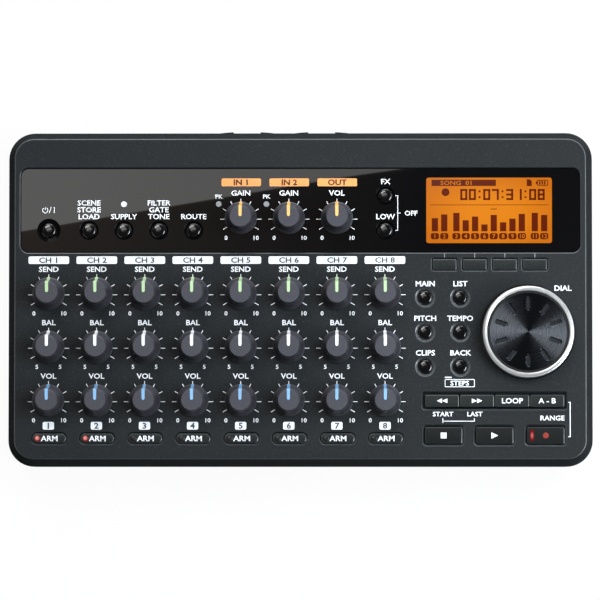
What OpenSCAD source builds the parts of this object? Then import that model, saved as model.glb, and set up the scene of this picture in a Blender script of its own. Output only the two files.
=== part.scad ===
// Desktop multitrack recorder: two-part moulded case, rotary controls, keys, sockets and doors.
// Millimetres. Origin at the centre of the base, +X right, +Y to the rear, +Z up.

/* [Case] */
// Width over the side walls
case_w = 222; // [200:1:240]
// Depth over the front and rear walls
case_d = 127; // [115:1:140]
// Height of the control panel above the table
panel_z = 33; // [32.5:0.25:35]
// Height of the top case, from the parting line to the panel
cap_h = 7.4; // [7.2:0.1:7.8]
// Outer corner radius seen from above
corner_r = 10; // [8:0.5:12]
// Inset of the bevel at the panel
bevel_in = 3.2; // [2.6:0.1:3.2]
// Radius along the panel's edge
edge_r = 0.6; // [0.4:0.1:0.8]
// Thickness of the side walls
wall = 2; // [1.8:0.1:2.2]
// Thickness of the panel plate
plate_t = 2.6; // [2.4:0.1:2.8]
// Thickness of the floor
floor_t = 2.4; // [2.2:0.1:2.6]
// Height of the rubber feet
foot_h = 2; // [1.5:0.25:2.5]

/* [Rotary controls] */
// Distance between tracks
track_pitch = 18.2; // [17.8:0.1:18.4]
// Distance between the rows of track knobs
row_pitch = 20.25; // [19.5:0.25:20.75]
// Radius of a knob's skirt
knob_r = 6.1; // [5.7:0.1:6.4]
// Radius of a knob's top
knob_top_r = 4.2; // [3.9:0.1:4.5]
// Height of a knob
knob_h = 11; // [10:0.5:12.5]
// Gap between a knob and the panel
knob_gap = 0.5; // [0.4:0.1:0.8]
// Radius of a control shaft
shaft_r = 3; // [2.8:0.1:3]
// Outer radius of the data wheel's ring
wheel_r = 17.5; // [16.5:0.5:18]
// Height of the data wheel above the panel
wheel_h = 6; // [5:0.5:7]
// Number of slots in the data wheel
wheel_slots = 10; // [8:1:12]

/* [Keys] */
// Gap around a key in its opening
key_gap = 0.25; // [0.2:0.05:0.3]
// Travel of a key
travel = 0.6; // [0.4:0.1:0.7]
// Radius of a round button
button_r = 2.6; // [2.4:0.1:2.7]
// Height of a key above the panel
key_rise = 1.1; // [0.8:0.1:1.4]
// Width of a stop, play or record key
main_key_w = 14.3; // [13.5:0.1:14.8]
// Width of a record-arm key
arm_key_w = 12.95; // [12:0.1:13.2]

/* [Window and display] */
// Width of the glossy window
window_w = 212; // [211:0.5:212.5]
// Depth of the glossy window
window_d = 31.9; // [31.5:0.1:32.3]
// Thickness of the window sheet
window_t = 1.2; // [1:0.1:1.3]
// Depth of the window below the panel
window_sink = 0.4; // [0.3:0.1:0.5]
// Width of the display
display_w = 47.6; // [46:0.2:48.4]
// Depth of the display
display_d = 24.85; // [24:0.05:25.2]

/* [Battery bay] */
// Width of the battery bay
bay_w = 58; // [57:0.5:60]
// Length of the battery bay
bay_d = 54; // [53:0.5:56]
// Gap around the battery door
door_gap = 0.2; // [0.15:0.05:0.3]

/* [Hidden] */
$fn = 48;
tracks = 8;
rows = ["reverb", "pan", "level"];

// Overlap of shapes that are fused, reach of cuts past a face, and the gap between seated pieces
eps = 0.05;
past = 1;
seat_gap = 0.1;

// Fields of the layout from left to right and from front to rear. The places spread with the case.
left_margin = 15.7;
right_field = 60.7;
arm_margin = 10.7;
arm_gap = 14.4;
row_to_window = 31.5;
window_margin = 29.9;
layout_w = left_margin + tracks * track_pitch + right_field;
layout_d = arm_margin + arm_gap + 2 * row_pitch + row_to_window + window_margin;

// Distances in from the right edge
display_in = 39.4;
menu_in = 63.65;
function_in = 56.3;
wheel_in = 24.9;
transport_in = 37.5;

// Rows, and distances between like controls
input_drop = 2.9;
button_drop = 7.5;
wheel_up = 25.8;
slot_row_down = 0.2;
main_row_up = 1.1;
arm_shift = 0.3;
setup_shift = 15.2;
setup_pitch = 13.23;
mute_shift = 0.2;
mute_pitch = 13.1;
menu_pitch_x = 13.25;
menu_pitch_y = 13.1;
function_pitch = 11.4;
function_drop = 4.6;
main_pitch = 19.3;

// Places on the rear, the front and the sides, from the middle
xlr_1_x = -20.3;
xlr_pitch = 28.4;
phone_1_x = -72;
phone_pitch = 22;
mini_1_x = 56;
mini_pitch = 14;
rear_left = -88;
rear_right = 96;
mic_x = 80;
mid_screw_x = 41.5;
dc_row_y = 22;
usb_row_y = 4;
card_row_y = 9;

// Levels
lip_h = 1.4;
seam = 0.25;
flank = 20;
floor_z = foot_h + floor_t;
part_z = panel_z - cap_h;
plate_z = panel_z - plate_t;
bevel_h = (bevel_in - edge_r * cos(flank)) / tan(flank);
flank_z = max(part_z + seam + eps, panel_z - edge_r * (1 - sin(flank)) - bevel_h);
pot_h = 6.2;
pot_gap = 0.6;
board_t = 1.6;
board_top = plate_z - pot_gap - pot_h;
board_z = board_top - board_t;
window_top = panel_z - window_sink;
pocket_z = window_top - window_t;
side_x = case_w / 2;
rear_y = case_d / 2;
wall_x = side_x - wall;
wall_y = rear_y - wall;

// Controls
spread_x = case_w / layout_w;
spread_y = case_d / layout_d;
arm_y = spread_y * arm_margin - rear_y;
window_y = rear_y - spread_y * window_margin;
input_y = window_y - spread_y * input_drop;
button_y = window_y - spread_y * button_drop;
wheel_y = row_y(2) + spread_y * wheel_up;
function track_x(i) = spread_x * (left_margin + track_pitch * i) - side_x;
function row_y(j) = arm_y + spread_y * (arm_gap + row_pitch * (2 - j));
function right_x(inset) = side_x - spread_x * inset;
pots = concat(
    [for (j = [0 : 2], i = [0 : tracks - 1]) [track_x(i), row_y(j)]],
    [for (i = [4 : 6]) [track_x(i), input_y]]);
arm_at = [for (i = [0 : tracks - 1]) [track_x(i) + spread_x * arm_shift, arm_y]];
power_at = [track_x(0), button_y];
setup_at = [for (i = [0 : 3]) [track_x(0) + spread_x * (setup_shift + setup_pitch * i), button_y]];
mute_at = [for (i = [0, 1])
    [track_x(tracks - 1) + spread_x * mute_shift, button_y + spread_y * mute_pitch * i]];
menu_at = [for (i = [0, 1], j = [-1 : 1])
    [right_x(menu_in - menu_pitch_x * i), wheel_y + spread_y * menu_pitch_y * j]];
window_at = [0, window_y];
display_at = [right_x(display_in), window_y];
function_y = window_y - window_d / 2 - function_drop;
function_at = [for (i = [0 : 3]) [right_x(function_in - function_pitch * i), function_y]];
wheel_at = [right_x(wheel_in), wheel_y];
slot_at = [right_x(transport_in), row_y(2) - spread_y * slot_row_down];
slot_key_pitch = 13.25;
slot_key_at = [for (i = [0 : 3]) [slot_at[0] + slot_key_pitch * (i - 1.5), slot_at[1]]];
main_at = [for (i = [-1 : 1])
    [right_x(transport_in - main_pitch * i), arm_y + spread_y * main_row_up]];
window_buttons = concat([power_at], setup_at, mute_at);

// Keys: width, depth, corner radius
function_key_w = 9.2;
function_key_d = 4.2;
slot_key_w = 13;
slot_key_d = 4.7;
main_key_d = 6.5;
arm_key_d = 3.9;
key_corner = 0.6;
main_corner = 0.8;
arm_corner = 1.9;
function_key = [function_key_w, function_key_d, key_corner];
slot_key = [slot_key_w, slot_key_d, key_corner];
main_key = [main_key_w, main_key_d, main_corner];
arm_key = [arm_key_w, arm_key_d, arm_corner];
slot_room = 0.3;
function_rise = 0.15;
arm_rise = 0.6;
window_rise = 0.5;
menu_rise = 0.8;

// Chamfered mouths of the openings
small_mouth = 0.4;
main_mouth = 0.75;
slot_mouth = 0.35;
slot_field = 1.25;
slot_sink = 1.2;
menu_mouth = 1.1;
menu_mouth_h = 0.6;
dish_h = 0.5;
dish_w = 0.9;
power_dish_w = 1.75;
pocket_mouth = 0.3;

// Under the panel
pot_w = 9.6;
encoder_w = 12;
pot_lug = 0.4;
pot_floor = 0.8;
shaft_end = 0.3;
bush_wall = 0.5;
bush_gap = 0.2;
bush_rise = 0.8;
bush_r = shaft_r + bush_wall;
shaft_hole_r = bush_r + bush_gap;
shaft_z = board_top + pot_floor + shaft_end;
flange_t = 1;
flange_w = 0.7;
flange_gap = 0.2;
flange_z = plate_z - flange_gap - flange_t;
stem_r = 1.4;
stem_gap = 0.25;
switch_w = 6;
switch_h = 3.5;
switch_floor = 1.2;
stem_end = 0.2;
well_z = board_top + switch_floor;
stem_z = well_z + travel + stem_end;
hole_r = button_r + key_gap;
recess_t = 0.8;
wheel_gap = 0.5;
window_corner = 3;
window_gap = 0.15;
window_edge = 0.2;
display_gap = 0.7;
bezel_w = 2.2;

// Screws, bosses and posts
screw_inset = 7;
boss_r = 2.6;
boss_hole_r = 1.5;
boss_drop = 3.6;
boss_z = part_z - boss_drop;
pillar_r = 4.4;
pillar_hole_r = 1.6;
head_r = 2.6;
head_h = 1.85;
head_well_r = 2.9;
seat_drop = 10;
seat_z = boss_z - seat_drop;
thread_r = 1.4;
slot_head_w = 2.8;
slot_head_d = 0.7;
slot_head_h = 0.8;
stud_r = 2.2;
stud_hole_r = 1;
stud_inset = 5.6;
board_hole_r = 1.2;
board_screw_r = 0.9;
board_head_r = 1.9;
board_head_h = 1.4;
plate_skin = 1;
screw_end = 1;
screw_at = concat(
    [for (x = [-1, 1], y = [-1, 1]) [x * (side_x - screw_inset), y * (rear_y - screw_inset)]],
    [for (y = [-1, 1]) [spread_x * mid_screw_x, y * (rear_y - screw_inset)]]);
row_gap = 8.9;
slot_stud_up = 6.8;
wheel_stud_up = 17.2;
stud_at = concat(
    [for (i = [0.5, 6.5], y = [row_y(0) + row_gap, arm_y + stud_inset]) [track_x(i), y]],
    [for (y = [slot_at[1] + slot_stud_up, wheel_y + wheel_stud_up]) [slot_at[0], y]]);

// Sockets
socket_rise = 10.4;
socket_z = floor_z + socket_rise;
jack_depth = 15.9;
jack_back = 2;
jack_y = wall_y - jack_depth;
jack_face = 0.3;
xlr_at = [for (i = [0, 1]) spread_x * (xlr_1_x + xlr_pitch * i)];
xlr_w = 21.6;
xlr_h = 20.4;
xlr_r = 9.7;
xlr_insert_r = 7.95;
xlr_ring_r = 11.6;
xlr_ring_t = 0.5;
xlr_notch_w = 10.3;
xlr_back = 3;
xlr_inset = 1;
pin_r = 1.25;
pin_ring_r = 3.7;
pin_back = 4;
key_w = 2;
key_z = 6.6;
key_h = 2.4;
phone_at = [for (i = [0, 1]) spread_x * (phone_1_x + phone_pitch * i)];
phone_w = 15;
phone_drop = 7.4;
phone_nose_r = 4.7;
phone_bore_r = 3.25;
mini_at = [for (i = [0 : 2]) spread_x * (mini_1_x + mini_pitch * i)];
mini_w = 10;
mini_h = 8;
mini_nose_r = 3;
mini_bore_r = [1.3, 1.8, 1.8];
nose_gap = 0.2;
rear_x0 = spread_x * rear_left;
rear_x1 = spread_x * rear_right;
rear_top_gap = 0.15;
tongue_w = 5;
tongue_t = 1.5;
tongue_web = 1.4;
tongue_inset = 1;
tongue_z = floor_z + 2;
jack_board_t = 1.6;
board_gap = 0.3;
board_front = 5.2;
board_corner = 11.9;
mic_at = [for (s = [-1, 1]) s * spread_x * mic_x];
mic_z = 14;
mic_r = 4.8;
mic_d = 6.4;
mic_hole_r = 1;
cradle_w = 13;
cradle_d = 7;
mic_slot_w = 11;
mic_slot_h = 1.2;
mic_slot_pitch = 2.6;

// Side sockets
dc_y = spread_y * dc_row_y;
dc_w = 11;
dc_d = 14;
dc_r = 2.8;
dc_pin_r = 1;
dc_hole_r = 3.9;
dc_back = 2;
dc_z = board_z - 5.6;
usb_y = spread_y * usb_row_y;
usb_w = 8;
usb_h = 3.2;
usb_d = 9;
usb_t = 0.5;
usb_tongue_w = 4.4;
usb_tongue_t = 0.7;
usb_room = 1.2;
port_inset = 0.5;
card_y = spread_y * card_row_y;
card_w = 24.4;
card_t = 2.4;
card_d = 27.5;
card_body_w = 26.4;
card_body_h = 4.2;
card_end = 3;
card_inset = 1.5;
card_room = 0.3;
card_z = board_z - card_body_h / 2;
card_door_w = 32;
card_door_h = 8;
card_door_t = 1.4;
card_door_gap = 0.2;
card_door_z = card_z - card_door_h / 2;
card_pin_r = 0.42;
card_pin_out = 1;
card_pin_hole_r = 0.5;
card_pin_hole = 1.6;
card_backing_w = 38;
card_grip_w = 10;
card_grip_d = 0.7;

// Battery bay and its door
bay_front = 17.5;
bay_y = bay_front + bay_d / 2 - rear_y;
bay_h = 14.1;
bay_wall = 4;
bay_roof = 1.5;
bay_top = floor_z + bay_h;
door_lap = 2;
door_w = bay_w + 2 * door_lap;
door_d = bay_d + 2 * door_lap;
door_t = floor_t - seat_gap;
door_y0 = bay_y - door_d / 2;
door_y1 = bay_y + door_d / 2;
door_pin_r = 0.6;
door_pin_out = 1.3;
door_pin_hole_r = 0.7;
door_pin_hole = 1.8;
grip_w = 18;
grip_count = 4;
grip_pitch = 2.4;
grip_d = 1.2;
grip_h = 0.5;
grip_y = 5;
notch_w = 12;
notch_d = 1.4;
notch_h = 1.2;
cell_z = foot_h + door_t + 7.5;
contact_w = 8;
contact_t = 0.4;
leaf_w = 6;
leaf_h = 5;
leaf_out = 2.5;

// Feet
foot_r = 5;
foot_edge = 0.5;
foot_sink = 0.5;
foot_gap = 0.2;
foot_inset_x = 15;
foot_inset_y = 15.5;
foot_at = [for (x = [-1, 1], y = [-1, 1]) [x * (side_x - foot_inset_x), y * (rear_y - foot_inset_y)]];
base_edge_r = 2;
inner_edge = 1.2;

// A block with a rounded outline. Each rim point is [inset from the outline, z], lowest first.
module moulded_block(w, d, r, rim) {
    n = len(rim) - 1;
    function side(s) = concat(
        [for (p = rim) [s / 2 - p[0], p[1]]],
        [for (i = [n : -1 : 0]) [rim[i][0] - s / 2, rim[i][1]]]);
    translate([r - w / 2, 0, 0])
        rotate([90, 0, 90])
            linear_extrude(w - 2 * r)
                polygon(side(d));
    translate([0, d / 2 - r, 0])
        rotate([90, 0, 0])
            linear_extrude(d - 2 * r)
                polygon(side(w));
    for (x = [-1, 1], y = [-1, 1])
        translate([x * (w / 2 - r), y * (d / 2 - r), 0])
            rotate_extrude()
                polygon(concat([[0, rim[0][1]]], [for (p = rim) [r - p[0], p[1]]], [[0, rim[n][1]]]));
}

module block(x0, x1, y0, y1, z0, z1)
    translate([x0, y0, z0])
        cube([x1 - x0, y1 - y0, z1 - z0]);

// A block of a width about x and a depth about y.
module slab(x, y, w, d, z0, z1)
    block(x - w / 2, x + w / 2, y - d / 2, y + d / 2, z0, z1);

module post(at, r, z0, z1)
    translate([at[0], at[1], z0])
        cylinder(r = r, h = z1 - z0);

// A cylinder along +Y from y0 to y1.
module socket_bar(x, z, r, y0, y1)
    translate([x, y1, z])
        rotate([90, 0, 0])
            cylinder(r = r, h = y1 - y0);

// A cylinder along +X from x0 to x1.
module side_bar(y, z, r, x0, x1)
    translate([x0, y, z])
        rotate([0, 90, 0])
            cylinder(r = r, h = x1 - x0);

// A rounded opening through the panel with a chamfered mouth.
module key_opening(at, size, mouth) {
    w = size[0] + 2 * key_gap;
    d = size[1] + 2 * key_gap;
    r = size[2] + key_gap;
    translate([at[0], at[1], 0]) {
        moulded_block(w, d, r, [[0, plate_z - past], [0, panel_z + past]]);
        moulded_block(w + 2 * mouth, d + 2 * mouth, r + mouth,
            [[mouth, panel_z - 0.7 * mouth], [0, panel_z + eps]]);
    }
}

// The sunk field that the four slot keys share, with their opening in its floor.
module slot_opening() {
    w = 3 * slot_key_pitch + slot_key_w;
    key_opening(slot_at, [w, slot_key_d + slot_room, key_corner], 0);
    translate([slot_at[0], slot_at[1], 0])
        moulded_block(w + 2 * slot_field, slot_key_d + 2 * slot_field, slot_field,
            [[slot_mouth, panel_z - slot_sink], [slot_mouth, panel_z - slot_mouth],
             [-eps, panel_z + eps]]);
}

module round_opening(at, mouth) {
    post(at, hole_r, plate_z - past, panel_z + past);
    translate([at[0], at[1], panel_z - menu_mouth_h])
        cylinder(r1 = hole_r, r2 = hole_r + mouth, h = menu_mouth_h + eps);
}

module case_shell(rim, core)
    difference() {
        moulded_block(case_w, case_d, corner_r, rim);
        moulded_block(case_w, case_d, corner_r, core);
    }

// The lip that runs inside the bottom case's rebate, left out over the rear panel.
module case_lip() {
    lip_in = wall / 2 + seat_gap;
    difference() {
        case_shell(
            [[lip_in, part_z - lip_h], [lip_in, part_z + seam + eps]],
            [[wall, part_z - lip_h - past], [wall, part_z + past]]);
        block(rear_x0 - past, rear_x1 + past, wall_y - past, case_d, boss_z, part_z);
    }
}

module window_pocket() {
    w = window_w + 2 * window_gap;
    d = window_d + 2 * window_gap;
    r = window_corner + window_gap;
    translate([window_at[0], window_at[1], 0]) {
        moulded_block(w, d, r, [[0, pocket_z], [0, panel_z + past]]);
        moulded_block(w + 2 * pocket_mouth, d + 2 * pocket_mouth, r + pocket_mouth,
            [[pocket_mouth, panel_z - pocket_mouth], [-eps, panel_z + eps]]);
    }
}

module top_case() {
    arc = [for (a = [flank : (90 - flank) / 5 : 90.1])
        [bevel_in - edge_r * cos(a), panel_z - edge_r * (1 - sin(a))]];
    rim = concat([[seam, part_z], [0, part_z + seam], [0, flank_z]], arc);
    slope_in = wall + (plate_z - flank_z) * tan(flank) + 0.2;
    color("#2f3233")
        difference() {
            union() {
                case_shell(rim, [[wall, part_z - past], [wall, flank_z], [slope_in, plate_z]]);
                case_lip();
                for (p = screw_at)
                    post(p, boss_r, boss_z, plate_z + eps);
                for (p = stud_at)
                    post(p, stud_r, board_top, plate_z + eps);
            }
            for (p = screw_at)
                post(p, boss_hole_r, boss_z - past, plate_z - plate_skin);
            for (p = stud_at)
                post(p, stud_hole_r, board_top - past, plate_z - plate_skin);
            window_pocket();
            slab(display_at[0], display_at[1], display_w + 2 * display_gap, display_d + 2 * display_gap,
                plate_z - past, pocket_z + past);
            for (p = concat(pots, [wheel_at]))
                post(p, shaft_hole_r, plate_z - past, panel_z + past);
            post(wheel_at, wheel_r + wheel_gap, panel_z - recess_t, panel_z + past);
            for (p = window_buttons)
                post(p, hole_r, plate_z - past, panel_z);
            for (p = menu_at)
                round_opening(p, menu_mouth);
            for (p = function_at)
                key_opening(p, function_key, small_mouth);
            slot_opening();
            for (p = main_at)
                key_opening(p, main_key, main_mouth);
            for (p = arm_at)
                key_opening(p, arm_key, small_mouth);
        }
}

// A recess for the card door with its finger notch, the card's slot and the hinge pin's holes.
module card_door_cut() {
    slab(side_x, card_y, 2 * (card_door_t + card_room / 2), card_door_w + 2 * card_door_gap,
        card_door_z - card_door_gap, card_door_z + card_door_h + card_door_gap);
    slab(side_x, card_y, 2 * card_grip_d, card_grip_w, card_door_z, card_door_z + card_door_h + card_inset);
    slab(side_x, card_y, 2 * (wall + card_end), card_w + 2 * card_room + card_door_gap,
        card_z - card_t / 2 - card_room, card_z + card_t / 2 + card_room);
    for (s = [-1, 1])
        translate([side_x - card_door_t / 2, card_y + s * (card_door_w + card_pin_out) / 2,
            card_door_z + card_door_t / 2])
            rotate([90, 0, 0])
                cylinder(r = card_pin_hole_r, h = card_pin_hole, center = true);
}

module battery_bay_cut() {
    slab(0, bay_y, bay_w, bay_d, foot_h - past, bay_top);
    slab(0, bay_y, door_w + 2 * door_gap, door_d + 2 * door_gap, foot_h - past, floor_z + eps);
    for (s = [-1, 1])
        translate([s * (door_w / 2 + door_pin_hole_r), 0, 0])
            side_bar(door_y1 - door_t / 2, foot_h + door_t / 2, door_pin_hole_r,
                -door_pin_hole / 2, door_pin_hole / 2);
}

module bottom_case() {
    rim = concat(
        [for (a = [90 : -18 : 0]) [base_edge_r * (1 - cos(a)), foot_h + base_edge_r * (1 - sin(a))]],
        [[0, part_z - seam], [seam, part_z]]);
    core = [[wall + inner_edge, floor_z], [wall, floor_z + inner_edge], [wall, part_z + past]];
    rebate = [[wall / 2, part_z - lip_h - flange_gap], [wall / 2, part_z + past]];
    front_y = wall - rear_y;
    color("#26282a")
        difference() {
            union() {
                case_shell(rim, core);
                for (p = screw_at)
                    post(p, pillar_r, floor_z - eps, boss_z - seat_gap);
                slab(0, bay_y, bay_w + 2 * bay_wall, bay_d + 2 * bay_wall, floor_z - eps, bay_top + bay_roof);
                for (x = mic_at)
                    block(x - cradle_w / 2, x + cradle_w / 2, front_y - eps, front_y + cradle_d,
                        floor_z - eps, mic_z);
                block(wall_x - card_door_t, wall_x + eps, card_y - card_backing_w / 2,
                    card_y + card_backing_w / 2, card_door_z - door_lap, part_z - lip_h - foot_edge);
            }
            moulded_block(case_w, case_d, corner_r, rebate);
            block(rear_x0, rear_x1, wall_y - inner_edge - seat_gap, case_d, floor_z, part_z + past);
            for (p = screw_at) {
                post(p, pillar_hole_r, foot_h - past, part_z);
                post(p, head_well_r, foot_h - past, seat_z);
            }
            battery_bay_cut();
            for (x = mic_at) {
                socket_bar(x, mic_z, mic_r + seat_gap, front_y, front_y + cradle_d + past);
                for (z = [mic_z - mic_slot_pitch : mic_slot_pitch : mic_z + mic_slot_pitch + eps])
                    slab(x, -rear_y, mic_slot_w, 2 * (wall + eps), z - mic_slot_h / 2, z + mic_slot_h / 2);
            }
            side_bar(dc_y, dc_z, dc_hole_r, -case_w, eps - wall_x);
            slab(-side_x, usb_y, 2 * (wall + eps), usb_w + 2 * usb_room,
                board_z - usb_h - past, board_z + past);
            card_door_cut();
            for (p = foot_at)
                post(p, foot_r + foot_gap, foot_h - past, foot_h + foot_sink + seat_gap);
        }
}

module rear_panel()
    color("#2a2c2e")
        difference() {
            z0 = floor_z + seat_gap;
            z1 = part_z - rear_top_gap;
            tongue_top = part_z - lip_h - past;
            union() {
                block(rear_x0 + seat_gap, rear_x1 - seat_gap, wall_y, rear_y, z0, z1);
                for (x = [rear_x0, rear_x1])
                    slab(x, wall_y - seat_gap - tongue_t / 2, tongue_w, tongue_t, tongue_z, tongue_top);
                for (x = [rear_x0 + tongue_inset, rear_x1 - tongue_inset - tongue_web])
                    block(x, x + tongue_web, wall_y - seat_gap - tongue_t, wall_y + eps,
                        tongue_z, tongue_top);
                for (x = xlr_at)
                    intersection() {
                        socket_bar(x, socket_z, xlr_ring_r, wall_y + eps, rear_y + xlr_ring_t);
                        difference() {
                            block(x - xlr_ring_r, x + xlr_ring_r, 0, case_d, z0, z1);
                            slab(x, rear_y + past, xlr_notch_w, 2 * past, socket_z, panel_z);
                        }
                    }
            }
            for (x = xlr_at)
                socket_bar(x, socket_z, xlr_r, wall_y - past, case_d);
            for (x = phone_at)
                socket_bar(x, socket_z, phone_nose_r + nose_gap, wall_y - past, case_d);
            for (x = mini_at)
                socket_bar(x, socket_z, mini_nose_r + nose_gap, wall_y - past, case_d);
        }

module window_panel()
    color("#141415")
        difference() {
            translate([window_at[0], window_at[1], 0])
                moulded_block(window_w, window_d, window_corner,
                    [[0, pocket_z], [0, window_top - window_edge], [window_edge, window_top]]);
            for (i = [4 : 6])
                post([track_x(i), input_y], shaft_hole_r, pocket_z - past, panel_z);
            for (p = window_buttons)
                post(p, hole_r, pocket_z - past, panel_z);
            for (p = window_buttons) {
                rim_w = p == power_at ? power_dish_w : dish_w;
                translate([p[0], p[1], window_top - dish_h])
                    cylinder(r1 = hole_r, r2 = hole_r + rim_w, h = dish_h + eps);
            }
        }

module display_module()
    color("#d98a2c") {
        x = display_at[0];
        y = display_at[1];
        glass_z = plate_z - flange_gap;
        slab(x, y, display_w + 2 * bezel_w, display_d + 2 * bezel_w, board_top, glass_z);
        slab(x, y, display_w, display_d, glass_z - eps, pocket_z - seat_gap);
    }

// The main board with three chips under it, and the upright board behind the rear sockets.
module circuit_boards()
    color("#1f6b45") {
        bx = wall_x - 2;
        y0 = arm_y - board_front;
        chip_t = 1.3;
        corner_w = 16;
        corner_y = board_corner - rear_y;
        chips = [[-59, -7, 14, 14], [61, -18, 18, 12], [-5, 22, 18, 12]];
        difference() {
            union() {
                block(-bx, bx, y0, jack_y - jack_board_t - past, board_z, board_top);
                for (c = chips)
                    slab(spread_x * c[0], spread_y * c[1], c[2], c[3], board_z - chip_t, board_z + eps);
            }
            for (s = [-1, 1])
                slab(s * bx, y0, corner_w, 2 * (corner_y - y0), board_z - past, board_top + past);
            post(screw_at[4], pillar_r + flange_gap, board_z - past, board_top + past);
            for (p = stud_at)
                post(p, board_hole_r, board_z - past, board_top + past);
        }
        block(rear_x0 + 6, rear_x1 - 4, jack_y - jack_board_t, jack_y,
            floor_z + seat_gap, board_z - board_gap);
    }

module rotary_body(at, w)
    difference() {
        union() {
            slab(at[0], at[1], w, w + 2 * pot_lug, board_top, board_top + pot_h);
            post(at, bush_r, board_top + pot_h - eps, plate_z + bush_rise);
        }
        post(at, shaft_r + seat_gap, board_top + pot_floor, panel_z);
    }

module rotary_controls()
    color("#8c8f94") {
        for (p = pots)
            rotary_body(p, pot_w);
        rotary_body(wheel_at, encoder_w);
    }

module tact_switches()
    color("#9a9ca0")
        for (p = concat(window_buttons, menu_at, function_at, slot_key_at, main_at, arm_at))
            difference() {
                slab(p[0], p[1], switch_w, switch_w, board_top, board_top + switch_h);
                post(p, stem_r + stem_gap, well_z, panel_z);
            }

module xlr_sockets()
    color("#202124")
        for (x = xlr_at)
            difference() {
                union() {
                    difference() {
                        block(x - xlr_w / 2, x + xlr_w / 2, jack_y, wall_y - seat_gap,
                            socket_z - xlr_h / 2, socket_z + xlr_h / 2);
                        socket_bar(x, socket_z, xlr_r, jack_y + xlr_back, case_d);
                    }
                    socket_bar(x, socket_z, xlr_insert_r, jack_y + jack_back, rear_y - xlr_inset);
                }
                for (a = [90, 210, 330])
                    socket_bar(x + pin_ring_r * cos(a), socket_z - pin_ring_r * sin(a), pin_r,
                        jack_y + pin_back, case_d);
                block(x - key_w / 2, x + key_w / 2, jack_y + pin_back, case_d,
                    socket_z + key_z, socket_z + key_z + key_h);
            }

// A socket body with a round nose in the rear panel and a plug bore.
module jack_body(x, w, z0, z1, nose_r, bore_r)
    difference() {
        union() {
            block(x - w / 2, x + w / 2, jack_y, wall_y - seat_gap, z0, z1);
            socket_bar(x, socket_z, nose_r, wall_y - 2 * seat_gap, rear_y - jack_face);
        }
        socket_bar(x, socket_z, bore_r, jack_y + jack_back, case_d);
    }

module phone_jacks()
    color("#1d1e20")
        for (x = phone_at)
            jack_body(x, phone_w, socket_z - phone_drop, board_z - board_gap, phone_nose_r, phone_bore_r);

module mini_jacks()
    color("#1d1e20")
        for (i = [0 : 2])
            jack_body(mini_at[i], mini_w, socket_z - mini_h / 2, socket_z + mini_h / 2,
                mini_nose_r, mini_bore_r[i]);

module port_sockets()
    color("#b4b7bb") {
        x0 = port_inset - wall_x;
        difference() {
            block(x0, x0 + dc_d, dc_y - dc_w / 2, dc_y + dc_w / 2, board_z - dc_w, board_z);
            side_bar(dc_y, dc_z, dc_r, -case_w, x0 + dc_d - dc_back - port_inset);
        }
        side_bar(dc_y, dc_z, dc_pin_r, x0 + past, x0 + dc_d - dc_back);
        difference() {
            block(x0, x0 + usb_d, usb_y - usb_w / 2, usb_y + usb_w / 2, board_z - usb_h, board_z);
            block(-case_w, x0 + usb_d - past, usb_y - usb_w / 2 + usb_t, usb_y + usb_w / 2 - usb_t,
                board_z - usb_h + usb_t, board_z - usb_t);
        }
        block(x0 + past, x0 + usb_d - past + eps, usb_y - usb_tongue_w / 2, usb_y + usb_tongue_w / 2,
            board_z - usb_h / 2 - usb_tongue_t / 2, board_z - usb_h / 2 + usb_tongue_t / 2);
        difference() {
            x1 = wall_x - card_inset;
            block(x1 - card_d, x1, card_y - card_body_w / 2, card_y + card_body_w / 2,
                board_z - card_body_h, board_z);
            block(x1 - card_d + card_end, case_w, card_y - card_w / 2, card_y + card_w / 2,
                card_z - card_t / 2, card_z + card_t / 2);
        }
    }

module microphone_capsules()
    color("#8f9296")
        for (x = mic_at) {
            y0 = wall - rear_y + seat_gap;
            difference() {
                socket_bar(x, mic_z, mic_r, y0, y0 + mic_d);
                socket_bar(x, mic_z, mic_hole_r, -case_d, y0 + past);
            }
        }

// Flat plates at one end of each cell and bent leaf springs at the other.
module battery_contacts()
    color("#c9ccd0")
        for (i = [-1.5 : 1.5]) {
            x = i * (bay_w / 4);
            y0 = bay_y - bay_d / 2 + eps;
            y1 = bay_y + bay_d / 2 - eps;
            block(x - contact_w / 2, x + contact_w / 2, y1 - contact_t, y1, cell_z - contact_w / 2,
                cell_z + contact_w / 2);
            translate([x - leaf_w / 2, y0, cell_z])
                rotate([90, 0, 90])
                    linear_extrude(leaf_w)
                        polygon([[0, -leaf_h], [contact_t, -leaf_h], [contact_t, leaf_h - 0.7], [leaf_out, 0],
                            [leaf_out / 2, past - leaf_h], [leaf_out / 2 + contact_t, past - leaf_h],
                            [leaf_out + contact_t, 0], [contact_t, leaf_h], [0, leaf_h]]);
        }

module rubber_feet()
    color("#161617")
        for (p = foot_at)
            translate([p[0], p[1], 0])
                rotate_extrude()
                    polygon([[0, 0], [foot_r - foot_edge, 0], [foot_r, foot_edge],
                        [foot_r, foot_h + foot_sink], [0, foot_h + foot_sink]]);

// Cross-slotted case screws in their wells, and flat-headed screws under the main board.
module screws()
    color("#55585c") {
        for (p = screw_at)
            difference() {
                head_z = seat_z - eps - head_h;
                union() {
                    post(p, head_r, head_z, seat_z - eps);
                    post(p, thread_r, seat_z - 2 * eps, plate_z - plate_skin - screw_end);
                }
                for (a = [0, 90])
                    translate([p[0], p[1], head_z])
                        rotate(a)
                            cube([slot_head_w, slot_head_d, 2 * slot_head_h], center = true);
            }
        for (p = stud_at) {
            post(p, board_head_r, board_z - eps - board_head_h, board_z - eps);
            post(p, board_screw_r, board_z - 2 * eps, plate_z - plate_skin - screw_end);
        }
    }

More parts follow.
